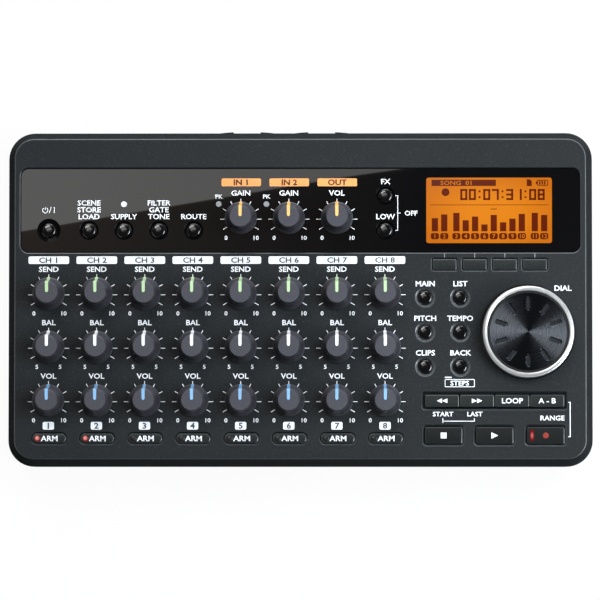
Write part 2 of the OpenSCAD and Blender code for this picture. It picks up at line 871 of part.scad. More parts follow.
// Half outline of a knob down to an inner radius, drawn in by an amount for the pointer's groove.
knob_base = 1;
knob_step = 0.3;
knob_flare_h = knob_h * 0.62;
knob_waist = knob_top_r + 0.2;
function knob_side(sink, inner) = concat(
    [[knob_r - sink, knob_base]],
    [for (t = [0 : 0.125 : 1])
        [knob_waist + (knob_r - 0.35 - knob_waist) * pow(1 - t, 2.4) - sink,
         knob_base + knob_step + t * knob_flare_h]],
    [[knob_top_r + 0.05 - sink, knob_h - 0.45 - sink / 2], [knob_top_r - 0.35 - sink, knob_h - sink],
     [inner, knob_h - sink]]);

// A knob with a D-shaped bore and a pointer groove, and the control's shaft in it.
module knob(at) {
    z0 = panel_z + knob_gap;
    pointer_w = 1.4;
    pointer_r = pointer_w / 2;
    pointer_d = 0.25;
    flat_y = -shaft_r / 2;
    bore_h = knob_h - 2;
    color("#3a3b40")
        translate([at[0], at[1], z0])
            difference() {
                rotate_extrude()
                    polygon(concat([[0, 0], [knob_r - knob_step, 0], [knob_r, knob_step]], knob_side(0, 0)));
                difference() {
                    post([0, 0], shaft_r + eps, -past, bore_h);
                    block(-knob_r, knob_r, -knob_r, flat_y - eps, -2 * past, knob_h);
                }
                translate([-pointer_r, 0, 0])
                    rotate([90, 0, 90])
                        linear_extrude(pointer_w)
                            polygon(concat(knob_side(pointer_d, pointer_r), [[pointer_r, knob_h + past],
                                [knob_r + past, knob_h + past], [knob_r + past, knob_base]]));
                post([0, pointer_r], pointer_r, knob_h - pointer_d, knob_h + past);
            }
    color("#a9abb0")
        translate([at[0], at[1], 0])
            difference() {
                post([0, 0], shaft_r, shaft_z, z0 + bore_h - seat_gap);
                block(-knob_r, knob_r, -knob_r, flat_y, z0 - 0.4, z0 + knob_h);
            }
}

wheel_top = panel_z + wheel_h;
wheel_z = panel_z - recess_t + 0.3;
ring_w = 2;
flange_h = 0.9;

module data_wheel() {
    disc_r = wheel_r - ring_w - eps;
    face_z = wheel_top - 0.5;
    rim_w = 0.8;
    rim_h = 0.15;
    slot_w = 1.9;
    slot_d = 0.9;
    slot_len = 5.3;
    slot_edge = 0.2;
    slot_mid = disc_r - 2.1 - slot_len / 2;
    color("#1c1c1e")
        translate([wheel_at[0], wheel_at[1], 0])
            difference() {
                rotate_extrude()
                    polygon([[0, shaft_z], [shaft_r, shaft_z], [shaft_r, wheel_z], [wheel_r - 1, wheel_z],
                        [wheel_r - 1, wheel_z + flange_h], [disc_r, wheel_z + flange_h],
                        [disc_r, face_z - rim_h], [disc_r - rim_w / 2, face_z + rim_h],
                        [disc_r - rim_w, face_z], [0, face_z]]);
                for (k = [0 : wheel_slots - 1])
                    rotate(90 + 360 / wheel_slots * k)
                        translate([slot_mid, 0, 0])
                            moulded_block(slot_len, slot_w, slot_w / 2 - eps,
                                [[slot_edge, face_z - slot_d], [slot_edge, face_z - slot_edge],
                                 [-eps, face_z + eps]]);
            }
}

// A bright ring with a crowned top, pressed over the disc.
module data_wheel_ring() {
    r0 = wheel_r - ring_w;
    z0 = wheel_z + flange_h + eps;
    foot = 0.2;
    crown_w = 1.3;
    crown_h = 1.1;
    crown_z = wheel_top - 0.2;
    crown = [for (a = [0 : 15 : 90])
        [wheel_r - crown_w * (1 - cos(a)), crown_z - crown_h * (1 - sin(a))]];
    color("#d6d7d9")
        translate([wheel_at[0], wheel_at[1], 0])
            rotate_extrude()
                polygon(concat([[r0, z0], [wheel_r - foot, z0], [wheel_r, z0 + foot]], crown,
                    [[r0 + foot, crown_z], [r0, crown_z - foot]]));
}

// A round button with its flange under the panel and its stem in the switch.
module round_button(at, rise) {
    top = panel_z + rise;
    rim_r = button_r + flange_w;
    color("#1b1c1e")
        translate([at[0], at[1], 0])
            rotate_extrude()
                polygon([[0, stem_z], [stem_r, stem_z], [stem_r, flange_z], [rim_r, flange_z],
                    [rim_r, flange_z + flange_t], [button_r, flange_z + flange_t], [button_r, top - 0.6],
                    [button_r - 0.18, top - 0.25], [button_r - 0.6, top - 0.06], [button_r - 1.1, top],
                    [0, top]]);
}

module key(at, size, rise) {
    top = panel_z + rise;
    color("#232527")
        translate([at[0], at[1], 0]) {
            moulded_block(size[0], size[1], size[2],
                [[0, flange_z], [0, top - 0.45], [0.12, top - 0.15], [0.42, top]]);
            slab(0, 0, size[0] - 2 * size[2], size[1] + 2 * flange_w, flange_z, flange_z + flange_t);
            post([0, 0], stem_r, stem_z, flange_z + eps);
        }
}

module power_button() round_button(power_at, window_rise);

module setup_buttons()
    for (p = setup_at)
        round_button(p, window_rise);

module mute_buttons()
    for (p = mute_at)
        round_button(p, window_rise);

module menu_buttons()
    for (p = menu_at)
        round_button(p, menu_rise);

module function_buttons()
    for (p = function_at)
        key(p, function_key, function_rise);

module rewind_button() key(slot_key_at[0], slot_key, key_rise);

module forward_button() key(slot_key_at[1], slot_key, key_rise);

module repeat_button() key(slot_key_at[2], slot_key, key_rise);

module in_out_button() key(slot_key_at[3], slot_key, key_rise);

module stop_button() key(main_at[0], main_key, key_rise);

module play_button() key(main_at[1], main_key, key_rise);

module record_button() key(main_at[2], main_key, key_rise);

module rec_arm_buttons()
    for (p = arm_at)
        key(p, arm_key, arm_rise);

module battery_door() {
    ya = door_y1 - door_t / 2;
    za = foot_h + door_t / 2;
    color("#26282a")
        difference() {
            union() {
                block(-door_w / 2, door_w / 2, door_y0, ya, foot_h, foot_h + door_t);
                side_bar(ya, za, door_t / 2, -door_w / 2, door_w / 2);
                side_bar(ya, za, door_pin_r, -door_w / 2 - door_pin_out, door_w / 2 + door_pin_out);
            }
            for (k = [0 : grip_count - 1])
                slab(0, door_y0 + grip_y + grip_d / 2 + grip_pitch * k, grip_w, grip_d, foot_h - past,
                    foot_h + grip_h);
            slab(0, door_y0, notch_w, 2 * notch_d, foot_h - past, foot_h + notch_h);
        }
}

module card_door() {
    xa = side_x - card_door_t / 2;
    za = card_door_z + card_door_t / 2;
    color("#26282a") {
        slab(xa, card_y, card_door_t, card_door_w, za, card_door_z + card_door_h);
        translate([xa, card_y, za])
            rotate([90, 0, 0]) {
                cylinder(r = card_door_t / 2, h = card_door_w, center = true);
                cylinder(r = card_pin_r, h = card_door_w + 2 * card_pin_out, center = true);
            }
    }
}

top_case();
bottom_case();
rear_panel();
window_panel();
display_module();
circuit_boards();
rotary_controls();
tact_switches();
xlr_sockets();
phone_jacks();
mini_jacks();
port_sockets();
microphone_capsules();
battery_contacts();
rubber_feet();
screws();
data_wheel();
data_wheel_ring();
battery_door();
card_door();
power_button();
setup_buttons();
mute_buttons();
menu_buttons();
function_buttons();
rewind_button();
forward_button();
repeat_button();
in_out_button();
stop_button();
play_button();
record_button();
rec_arm_buttons();
knob([track_x(4), input_y]);  // input_a_trim_knob
knob([track_x(5), input_y]);  // input_b_trim_knob
knob([track_x(6), input_y]);  // master_level_knob
for (i = [1 : tracks], j = [0 : 2])
    knob([track_x(i - 1), row_y(j)]);
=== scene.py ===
"""Dresses the CAD frame of a multitrack recorder: finishes, print, display picture, lamps and studio."""

import math
from functools import cache

import bmesh
import bpy
from bpy.props import FloatProperty, FloatVectorProperty, IntProperty, PointerProperty
from bpy.types import NodeSocket, Operator, Panel, PropertyGroup
from mathutils import Matrix, Vector


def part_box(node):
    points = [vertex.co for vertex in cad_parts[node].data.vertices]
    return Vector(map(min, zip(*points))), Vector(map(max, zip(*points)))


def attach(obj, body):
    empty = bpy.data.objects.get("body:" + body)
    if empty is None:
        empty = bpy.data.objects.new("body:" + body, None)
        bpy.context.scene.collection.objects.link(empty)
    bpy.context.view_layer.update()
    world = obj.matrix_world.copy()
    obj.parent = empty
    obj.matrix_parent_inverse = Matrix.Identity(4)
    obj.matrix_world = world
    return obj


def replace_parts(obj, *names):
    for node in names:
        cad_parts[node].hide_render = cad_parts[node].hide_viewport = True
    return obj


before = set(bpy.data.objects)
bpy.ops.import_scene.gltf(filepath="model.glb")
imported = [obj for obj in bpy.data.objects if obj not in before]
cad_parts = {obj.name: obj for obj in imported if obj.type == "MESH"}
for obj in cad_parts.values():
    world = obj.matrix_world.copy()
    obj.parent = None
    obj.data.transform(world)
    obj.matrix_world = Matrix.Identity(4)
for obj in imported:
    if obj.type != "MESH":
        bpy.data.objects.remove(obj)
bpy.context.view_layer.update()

bl_info = {
    "name": "Multitrack recorder",
    "version": (1, 0, 0),
    "blender": (4, 5, 0),
    "location": "View3D > Sidebar > Recorder",
    "description": "Finishes, print, display picture and studio for the recorder's CAD frame",
    "category": "Object",
}

# Lengths are in millimetres, and in metres where they reach Blender's sockets and properties
MM = 0.001
DONE = {"FINISHED"}
TRACKS = range(1, 9)
ROWS = ("reverb", "pan", "level")
TRACK_KNOBS = {row: [f"track_{i}_{row}_knob" for i in TRACKS] for row in ROWS}
INPUT_KNOBS = ("input_a_trim_knob", "input_b_trim_knob", "master_level_knob")
SLOT_KEYS = ("rewind_button", "forward_button", "repeat_button", "in_out_button")
MAIN_KEYS = ("stop_button", "play_button", "record_button")
BUTTON_R, FLANGE_R = 2.6, 3.3


def srgb(red, green, blue):
    """A screen colour from 0 to 255 as the linear colour that Blender's sockets take."""
    def straight(value):
        value /= 255
        return value / 12.92 if value <= 0.04045 else ((value + 0.055) / 1.055) ** 2.4
    return tuple(straight(v) for v in (red, green, blue))


def box_of(node):
    """The lowest and the highest corner of a CAD node."""
    return [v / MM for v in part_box(node)]


def centre_of(node):
    """The middle of a CAD node seen from above."""
    low, high = box_of(node)
    return (low.x + high.x) / 2, (low.y + high.y) / 2


def top_of(node):
    """The highest point of a CAD node."""
    return box_of(node)[1].z


def grid_of(node, columns, rows):
    """Middles of like buttons that stand in a grid, from the front left on."""
    low, high = box_of(node)

    def spaced(start, end, count):
        return [start + FLANGE_R + (end - start - 2 * FLANGE_R) * k / max(count - 1, 1) for k in range(count)]

    return [(x, y) for y in spaced(low.y, high.y, rows) for x in spaced(low.x, high.x, columns)]


PANEL_Z, WINDOW_Z = top_of("top_case"), top_of("window_panel")
CASE_LOW, CASE_HIGH = box_of("bottom_case")
DIAL_AT = {name: centre_of(name) for names in (*TRACK_KNOBS.values(), INPUT_KNOBS) for name in names}
TRACK_X = [DIAL_AT[name][0] for name in TRACK_KNOBS["pan"]]
BUTTONS_AT = {
    "power_button": grid_of("power_button", 1, 1), "setup_buttons": grid_of("setup_buttons", 4, 1),
    "mute_buttons": grid_of("mute_buttons", 1, 2), "menu_buttons": grid_of("menu_buttons", 2, 3)}
PRINT_SHIFT = {"track": -0.5, "input": -0.4, "master": -0.4}
WHEEL_AT, DISPLAY_AT = centre_of("data_wheel"), centre_of("display_module")


def print_at(knob):
    """The middle of the print round a knob, a little in front of its shaft."""
    x, y = DIAL_AT[knob]
    return x, y + PRINT_SHIFT[knob.split("_")[0]]


# Settings


def colour(name, about, default):
    return FloatVectorProperty(
        name=name, description=about, subtype="COLOR", size=3, min=0, max=1, default=default)


def number(name, about, default, **more):
    return FloatProperty(name=name, description=about, min=0, default=default, **more)


def length(name, about, default):
    return number(name, about, default, subtype="DISTANCE", unit="LENGTH", precision=5)


def power(name, about, default):
    return number(name, about, default, subtype="POWER")


class RecorderFinish(PropertyGroup):
    """Colours of the mouldings and metals."""
    panel: colour("Panel", "Satin grain of the top case", srgb(42, 44, 45))
    body: colour("Body", "Bottom case, doors and rear panel", srgb(32, 33, 35))
    window: colour("Window", "Glossy sheet around the display", srgb(8, 8, 9))
    knob: colour("Knob", "Knob caps", srgb(69, 69, 75))
    key: colour("Key", "Flat keys", srgb(35, 38, 38))
    main_key: colour("Main key", "Stop, play and record keys", srgb(24, 26, 26))
    button: colour("Button", "Glossy round buttons", srgb(9, 9, 10))
    ring: colour("Wheel ring", "Satin metal ring of the data wheel", srgb(218, 218, 217))
    wheel: colour("Wheel", "Spun disc of the data wheel", srgb(88, 93, 100))


class RecorderPrint(PropertyGroup):
    """Inks and their film."""
    film: length("Film", "Thickness of the printed film", 0.00003)
    white: colour("White ink", "Words, scales and label boxes", srgb(240, 243, 246))
    amber: colour("Amber ink", "Label boxes over the input dials", srgb(236, 156, 88))
    dark: colour("Dark ink", "Figures inside the white boxes", srgb(58, 62, 65))
    ticks: IntProperty(name="Ticks", description="Marks round one dial", min=3, max=31, default=9)
    tick_step: number(
        "Tick step", "Angle between two marks", math.radians(30), subtype="ANGLE", unit="ROTATION")
    tick_inner: length("Tick start", "Distance from the shaft to a mark", 0.00605)
    tick_length: length("Tick length", "Length of a mark", 0.00175)
    tick_width: length("Tick width", "Width of a mark", 0.00026)


class RecorderKnobs(PropertyGroup):
    """Pointer inlays."""
    pointer_width: length("Pointer width", "Width of the inlaid pointer", 0.00116)
    pointer_proud: length("Pointer rise", "Height of the pointer over the cap", 0.00003)
    green: colour("Send pointers", "Pointers of the first row", srgb(176, 205, 158))
    white: colour("Balance pointers", "Pointers of the second row", srgb(240, 242, 244))
    blue: colour("Level pointers", "Pointers of the third row", srgb(128, 173, 213))
    amber: colour("Input pointers", "Pointers over the window", srgb(238, 188, 112))


class RecorderDisplay(PropertyGroup):
    """The lit picture under the window."""
    width: length("Width", "Width of the lit field", 0.0476)
    depth: length("Depth", "Depth of the lit field", 0.02485)
    glow: colour("Backlight", "Lit field", srgb(212, 123, 22))
    edge: colour("Backlight edge", "Lit field near its rim", srgb(190, 102, 16))
    segment: colour("Segments", "Dark segments", srgb(100, 32, 6))
    lamp: colour("Lamp", "Lit lamp of the record key", srgb(196, 94, 92))


class RecorderStage(PropertyGroup):
    """Floor, lamps and camera."""
    floor: colour("Floor", "Pale floor", (0.86, 0.86, 0.86))
    left_bank: power("Left bank", "Wide soft lamp high at the rear left", 11.6)
    right_strip: power("Right strip", "Small lamp low at the front right", 5)
    rear_strip: power("Rear strip", "Wide lamp behind the object, which lights but isn't mirrored", 12.5)
    glint_strip: power("Glint strip", "Wide lamp low behind the object, which is only mirrored", 12)
    side_strip: power("Side glint strip", "Wide lamp low at the right, which is only mirrored", 7)
    overhead_lamp: power("Overhead lamp", "Small lamp over the right end, which isn't mirrored", 2.1)
    card: number("Card", "Brightness of the card that the window mirrors", 2.4)
    dim_card: number("Dim card", "Brightness of the dim card round it", 0.34)
    distance: length("Camera height", "From the camera down to the middle of the case", 1.5)
    aside: length("Camera aside", "From the case's middle to the camera, to the right", 0.015)
    ahead: length("Camera ahead", "From the case's middle to the camera, to the front", 0.0666)
    lens: number("Lens", "Focal length in millimetres", 237.1, subtype="DISTANCE_CAMERA")


SETTINGS = {
    "recorder_finish": RecorderFinish,
    "recorder_print": RecorderPrint,
    "recorder_knobs": RecorderKnobs,
    "recorder_display": RecorderDisplay,
    "recorder_stage": RecorderStage,
}


# Shader nodes


def plug(tree, socket, term):
    """Links another socket to a socket, or sets it to a number, a vector or a colour."""
    if isinstance(term, NodeSocket):
        tree.links.new(term, socket)
    elif socket.type == "RGBA":
        socket.default_value = (*term, 1)
    else:
        socket.default_value = term


def fill(tree, node, terms):
    """Sets or links a node's inputs by their names or places."""
    for label, term in terms.items():
        plug(tree, node.inputs[label], term)
    return node


def add_node(tree, kind, terms, **settings):
    node = tree.nodes.new("ShaderNode" + kind)
    for name, value in settings.items():
        setattr(node, name, value)
    return fill(tree, node, terms)


def value_node(tree, operation, *terms):
    return add_node(tree, "Math", dict(enumerate(terms)), operation=operation).outputs[0]


def vector_node(tree, operation, *terms):
    outputs = add_node(tree, "VectorMath", dict(enumerate(terms)), operation=operation).outputs
    return outputs["Value"] if operation == "LENGTH" else outputs[0]


def scaled(tree, vector, factor):
    return add_node(tree, "VectorMath", {0: vector, "Scale": factor}, operation="SCALE").outputs[0]


def range_node(tree, value, low, high, new_low, new_high):
    return add_node(tree, "MapRange", {
        "Value": value, "From Min": low, "From Max": high, "To Min": new_low, "To Max": new_high,
    }).outputs["Result"]


def noise_node(tree, scale, detail, **place):
    """Noise at a vector, or along a line at W."""
    return add_node(
        tree, "TexNoise", {"Scale": scale, "Detail": detail, **place},
        noise_dimensions="1D" if "W" in place else "3D").outputs["Fac"]


def swing_of(tree, noise, low=-1.0, high=1.0):
    """The usual range of a noise spread between two limits."""
    return range_node(tree, noise, 0.3, 0.7, low, high)


def mix_colour(tree, factor, first, second):
    return add_node(tree, "Mix", {0: factor, 6: first, 7: second}, data_type="RGBA").outputs[2]


def object_point(tree):
    return add_node(tree, "TexCoord", {}).outputs["Object"]


def split(tree, vector):
    """The X, Y and Z of a vector."""
    return add_node(tree, "SeparateXYZ", {0: vector}).outputs


def surface_lean(tree):
    """The X, Y and Z of the surface's normal."""
    return split(tree, add_node(tree, "NewGeometry", {}).outputs["Normal"])


def distance_from(tree, middle, stretch=(1, 1)):
    """Distance from an upright line through a point, with x and y stretched."""
    offset = vector_node(tree, "SUBTRACT", object_point(tree), middle)
    return vector_node(tree, "LENGTH", vector_node(tree, "MULTIPLY", offset, (*stretch, 0)))


# Shader groups


SKIN_OUTPUTS = (("Color", "Color"), ("Float", "Roughness"), ("Float", "Height"))


def new_group(title, inputs, outputs):
    """An empty shader group. Inputs are (type, name, default), outputs are (type, name)."""
    tree = bpy.data.node_groups.new(title, "ShaderNodeTree")
    for kind, label, default in inputs:
        socket = tree.interface.new_socket(label, in_out="INPUT", socket_type="NodeSocket" + kind)
        socket.default_value = default
    for kind, label in outputs:
        tree.interface.new_socket(label, in_out="OUTPUT", socket_type="NodeSocket" + kind)
    return tree, tree.nodes.new("NodeGroupInput").outputs, tree.nodes.new("NodeGroupOutput")


def put_out_skin(tree, given, out, level, swing, height):
    """Puts out the tone at a level, the roughness with its swing, and a height."""
    rough = value_node(tree, "MULTIPLY_ADD", swing, given["Roughness Spread"], given["Roughness"])
    fill(tree, out, {"Color": scaled(tree, given["Tone"], level), "Roughness": rough, "Height": height})
    return tree


def moulded_grain(title):
    """Cloudy tone, fine cells and bright specks of a moulded or painted skin."""
    tree, given, out = new_group(
        title,
        (("Color", "Tone", (0.1, 0.1, 0.1, 1)), ("Float", "Cell Size", 0.0004), ("Float", "Spread", 0.15),
         ("Float", "Specks", 0.1), ("Float", "Roughness", 0.5), ("Float", "Roughness Spread", 0.08)),
        SKIN_OUTPUTS)
    point = object_point(tree)
    cells = scaled(tree, point, value_node(tree, "DIVIDE", 1.0, given["Cell Size"]))
    fine = noise_node(tree, 1.0, 2.0, Vector=cells)
    cloud = noise_node(tree, 22.0, 2.0, Vector=point)
    speck = range_node(tree, noise_node(tree, 0.75, 0.0, Vector=cells), 0.7, 0.78, 0.0, 1.0)
    swing = swing_of(tree, fine)
    level = value_node(tree, "MULTIPLY_ADD", swing, given["Spread"], 1.0)
    level = value_node(tree, "MULTIPLY", level, swing_of(tree, cloud, 0.96, 1.04))
    level = value_node(tree, "MULTIPLY_ADD", speck, given["Specks"], level)
    return put_out_skin(tree, given, out, level, swing, fine)


def turned_lines(title):
    """Rings round a vertical axis, as a lathe leaves them."""
    tree, given, out = new_group(
        title,
        (("Vector", "Axis Point", (0, 0, 0)), ("Float", "Pitch", 0.0003),
         ("Color", "Tone", (0.1, 0.1, 0.1, 1)), ("Float", "Spread", 0.3), ("Float", "Roughness", 0.3),
         ("Float", "Roughness Spread", 0.1)),
        SKIN_OUTPUTS)
    steps = value_node(tree, "DIVIDE", distance_from(tree, given["Axis Point"]), given["Pitch"])
    noise = noise_node(tree, 1.0, 1.0, W=steps)
    line = swing_of(tree, noise)
    return put_out_skin(
        tree, given, out, value_node(tree, "MULTIPLY_ADD", line, given["Spread"], 1.0), line, noise)


def soft_edges(title):
    """Gloss and painted highlight of chamfers and rounded edges: faces that lean, most of all away from the
    front.

    Level holds that painted highlight, and also a painted shade that darkens steep faces, except those at the
    rear.
    """
    tree, given, out = new_group(
        title, (("Float", "Gloss", 1.0), ("Float", "Light", 0.5), ("Float", "Flank", 1.0)),
        (("Float", "Edge Gloss"), ("Float", "Flat Gloss"), ("Float", "Level")))
    lean = surface_lean(tree)
    off_wall = range_node(tree, lean["Z"], 0.42, 0.6, 0.0, 1.0)
    off_flat = range_node(tree, lean["Z"], 0.93, 0.985, 1.0, 0.0)
    off_front = range_node(tree, lean["Y"], -0.6, -0.2, 0.0, 1.0)
    off_rear = range_node(tree, lean["Y"], 0.2, 0.6, 1.0, 0.0)
    flat = range_node(tree, lean["Z"], 0.97, 0.995, 0.06, 1.0)
    mask = value_node(tree, "MULTIPLY", value_node(tree, "MULTIPLY", off_wall, off_flat), off_front)
    # Painted shade: steep faces are darker, except those facing the rear
    steep = value_node(tree, "MULTIPLY", range_node(tree, lean["Z"], 0.75, 0.92, 1.0, 0.0), off_rear)
    lost = value_node(tree, "MULTIPLY", steep, value_node(tree, "SUBTRACT", 1.0, given["Flank"]))
    # Painted highlight: leaning faces, except those facing the front, are lighter
    edge = value_node(tree, "MULTIPLY_ADD", mask, given["Light"], 1.0)
    fill(tree, out, {
        "Edge Gloss": value_node(tree, "MULTIPLY", mask, given["Gloss"]),
        "Flat Gloss": value_node(tree, "MULTIPLY", flat, given["Gloss"]),
        "Level": value_node(tree, "MULTIPLY", edge, value_node(tree, "SUBTRACT", 1.0, lost))})
    return tree


EFFECTS = {"Moulded grain": moulded_grain, "Turned lines": turned_lines, "Soft edges": soft_edges}


def effect(tree, title, terms):
    """Places a shader group, which is made when it is first asked for."""
    group = bpy.data.node_groups.get(title) or EFFECTS[title](title)
    return add_node(tree, "Group", terms, node_tree=group).outputs


# Materials


def blank_material(name):
    made = bpy.data.materials.new(name)
    made.use_nodes = True
    return made, made.node_tree, made.node_tree.nodes["Principled BSDF"]


def bumped(tree, height, shader, strength, distance, under=None):
    """Joins a height to the shader's normal, over another relief where there is one."""
    bump = add_node(tree, "Bump", {"Height": height, "Strength": strength, "Distance": distance})
    if under:
        plug(tree, bump.inputs["Normal"], under)
    plug(tree, shader.inputs["Normal"], bump.outputs["Normal"])
    return bump.outputs["Normal"]


def moulded(name, tone, cell=0.0004, spread=0.15, specks=0.0, rough=0.5, rough_spread=0.06, bump=0.2,
            depth=0.00002, edges=None, coat="Edge Gloss", flank=1.0, crown=None, specular=0.5,
            coat_rough=0.03, metal=0.0):
    """A moulded plastic, rubber or painted skin, or a plain metal.

    Edges are the gloss of its chamfers and the painted highlight that lightens them, and flank is a painted
    shade: the colour of its steep sides as a share of the colour on top. Crown is the middle, depth and rise
    in metres of a face that is slightly round from front to rear.
    """
    made, tree, shader = blank_material(name)
    skin = effect(tree, "Moulded grain", {
        "Tone": tone, "Cell Size": cell, "Spread": spread, "Specks": specks,
        "Roughness": rough, "Roughness Spread": rough_spread})
    paint, under = skin["Color"], None
    if edges:
        edge = effect(tree, "Soft edges", {"Gloss": edges[0], "Light": edges[1], "Flank": flank})
        plug(tree, shader.inputs["Coat Weight"], edge[coat])
        # Painted highlight on chamfers and painted shade on steep sides, multiplied into the colour
        paint = scaled(tree, paint, edge["Level"])
    if crown:
        middle, across, rise = crown
        along = split(tree, object_point(tree))["Y"]
        edge_to_edge = range_node(tree, along, middle - across / 2, middle + across / 2, -1.0, 1.0)
        fall = value_node(tree, "MULTIPLY", edge_to_edge, edge_to_edge)
        under = bumped(tree, value_node(tree, "SUBTRACT", 1.0, fall), shader, 1.0, rise)
    bumped(tree, skin["Height"], shader, bump, depth, under)
    fill(tree, shader, {
        "Base Color": paint, "Roughness": skin["Roughness"], "Specular IOR Level": specular,
        "Coat Roughness": coat_rough, "Metallic": metal})
    return made


def turned(name, tone, axis, metal, stretch, turn, pitch=0.0003, spread=0.3, rough=0.3, rough_spread=0.08,
           bump=0.1, wall=1.0):
    """A lathe-turned metal with highlights along its radii, which stretch and turn by the given shares.

    Wall is a painted shade: the colour of its upright sides as a share of the colour on top.
    """
    made, tree, shader = blank_material(name)
    skin = effect(tree, "Turned lines", {
        "Axis Point": (axis[0] * MM, axis[1] * MM, 0), "Pitch": pitch, "Tone": tone, "Spread": spread,
        "Roughness": rough, "Roughness Spread": rough_spread})
    paint = skin["Color"]
    # Painted shade: upright sides are darker than the top
    if wall < 1:
        paint = scaled(tree, paint, range_node(tree, surface_lean(tree)["Z"], 0.6, 0.75, wall, 1.0))
    line_depth = 0.00001
    bumped(tree, skin["Height"], shader, bump, line_depth)
    tangent = add_node(tree, "Tangent", {}, direction_type="RADIAL", axis="Z")
    fill(tree, shader, {
        "Base Color": paint, "Roughness": skin["Roughness"], "Tangent": tangent.outputs["Tangent"],
        "Metallic": metal, "Anisotropic": stretch, "Anisotropic Rotation": turn})
    return made


def ink(name, tone):
    """Screen-printed ink with a slightly uneven film."""
    return bpy.data.materials.get(name) or moulded(
        name, tone, cell=0.0003, spread=0.03, rough=0.55, rough_spread=0.05, bump=0.05)


def film_of(context):
    """Thickness of the printed film, in millimetres."""
    return context.scene.recorder_print.film / MM


def white_ink(context):
    return ink("White ink", context.scene.recorder_print.white)


def grey_ink():
    return ink("Grey ink", srgb(138, 142, 146))


def lit(name, glow, edge, middle, reach, specular=0.5):
    """A lit field, a little darker away from its middle. Its reach is in metres."""
    made, tree, shader = blank_material(name)
    away = distance_from(tree, (middle[0] * MM, middle[1] * MM, 0), (1 / reach[0], 1 / reach[1]))
    fade_start, fade_end, dimmed = 0.35, 1.2, 0.15
    shade = mix_colour(tree, range_node(tree, away, fade_start, fade_end, 0.0, 1.0), glow, edge)
    fill(tree, shader, {
        "Emission Color": shade, "Emission Strength": 1.0, "Base Color": scaled(tree, shade, dimmed),
        "Roughness": 0.08, "Specular IOR Level": specular})
    return made


def pointer_paint(name, tone, top):
    """Pointer paint with a painted shade that makes it a little darker down the cap's flank."""
    made, tree, shader = blank_material(name)
    flank_down, rim_down, painted_flank_shade = 1.2, 0.2, 0.1
    height = split(tree, object_point(tree))["Z"]
    rise = range_node(tree, height, (top - flank_down) * MM, (top - rim_down) * MM, 0.0, 1.0)
    # Painted shade: the paint's colour is darker low on the flank
    paint = mix_colour(tree, rise, tuple(v * v ** painted_flank_shade for v in tone), tone)
    skin = effect(tree, "Moulded grain", {
        "Tone": paint, "Cell Size": 0.0003, "Spread": 0.04, "Specks": 0.0, "Roughness": 0.5})
    fill(tree, shader, {"Base Color": skin["Color"], "Roughness": skin["Roughness"]})
    return made


def dress(made, *nodes):
    """Gives CAD nodes their finish."""
    for node in nodes:
        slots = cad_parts[node].data.materials
        slots.clear()
        slots.append(made)


# Shapes


UPRIGHT = Matrix.Identity(4)
FACING_REAR = Matrix(((-1, 0, 0, 0), (0, 0, 1, 0), (0, 1, 0, 0), (0, 0, 0, 1)))
FACING_LEFT = Matrix(((0, 0, -1, 0), (-1, 0, 0, 0), (0, 1, 0, 0), (0, 0, 0, 1)))
FACING_RIGHT = Matrix(((0, 0, 1, 0), (1, 0, 0, 0), (0, 1, 0, 0), (0, 0, 0, 1)))
FACING_DOWN = Matrix(((-1, 0, 0, 0), (0, 1, 0, 0), (0, 0, -1, 0), (0, 0, 0, 1)))
# Height of the capitals of words and dial figures, and the weight and width of bold and thin type
WORD, FIGURE = 1.9, 1.5
BOLD, WIDE = 0.018, 1.1
THIN, PLAIN = 0.015, 1.0


def settle(mesh, body, smooth=None):
    """Puts a finished mesh into the scene as a piece that rides on a body.

    Edges sharper than smooth, in degrees, stay sharp.
    """
    if smooth is not None:
        mesh.shade_smooth()
        mesh.set_sharp_from_angle(angle=math.radians(smooth))
    piece = bpy.data.objects.new(mesh.name, mesh)
    bpy.context.scene.collection.objects.link(piece)
    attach(piece, body)
    return piece


def new_piece(name, points, faces, made, body, slot, smooth=None):
    """Makes a mesh piece from points and faces."""
    work = bmesh.new()
    verts = [work.verts.new(Vector(p) * MM) for p in points]
    for face in faces:
        work.faces.new([verts[i] for i in face])
    bmesh.ops.recalc_face_normals(work, faces=work.faces)
    mesh = bpy.data.meshes.new(name)
    work.to_mesh(mesh)
    work.free()
    mesh.materials.append(made)
    return settle(mesh, body, smooth)


def smoothed(node, made, body, angle):
    """A smooth-shaded copy of a CAD node, which stands for it."""
    work = bmesh.new()
    work.from_mesh(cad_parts[node].data)
    bmesh.ops.remove_doubles(work, verts=work.verts, dist=1e-6)
    mesh = bpy.data.meshes.new(node + "_skin")
    work.to_mesh(mesh)
    work.free()
    mesh.materials.clear()
    mesh.materials.append(made)
    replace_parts(settle(mesh, body, angle), node)


def evaluated_mesh(holder):
    """The mesh of an object that the scene takes in for this only."""
    bpy.context.scene.collection.objects.link(holder)
    bpy.context.view_layer.update()
    mesh = bpy.data.meshes.new_from_object(holder.evaluated_get(bpy.context.evaluated_depsgraph_get()))
    bpy.data.objects.remove(holder)
    return mesh


@cache
def letter_mesh(words, weight):
    """Points and faces of a line of type, from z -0.5 to 0.5, centred on x."""
    line = bpy.data.curves.new("type", "FONT")
    line.body, line.align_x, line.resolution_u = words, "CENTER", 2
    line.extrude, line.offset = 0.5, weight
    mesh = evaluated_mesh(bpy.data.objects.new("type", line))
    work = bmesh.new()
    work.from_mesh(mesh)
    bmesh.ops.remove_doubles(work, verts=work.verts, dist=1e-4)
    bmesh.ops.recalc_face_normals(work, faces=work.faces)
    work.verts.index_update()
    shape = [v.co.copy() for v in work.verts], [[v.index for v in f.verts] for f in work.faces]
    work.free()
    bpy.data.curves.remove(line)
    bpy.data.meshes.remove(mesh)
    return shape


CAPITAL = max(p.y for p in letter_mesh("H", 0.0)[0])


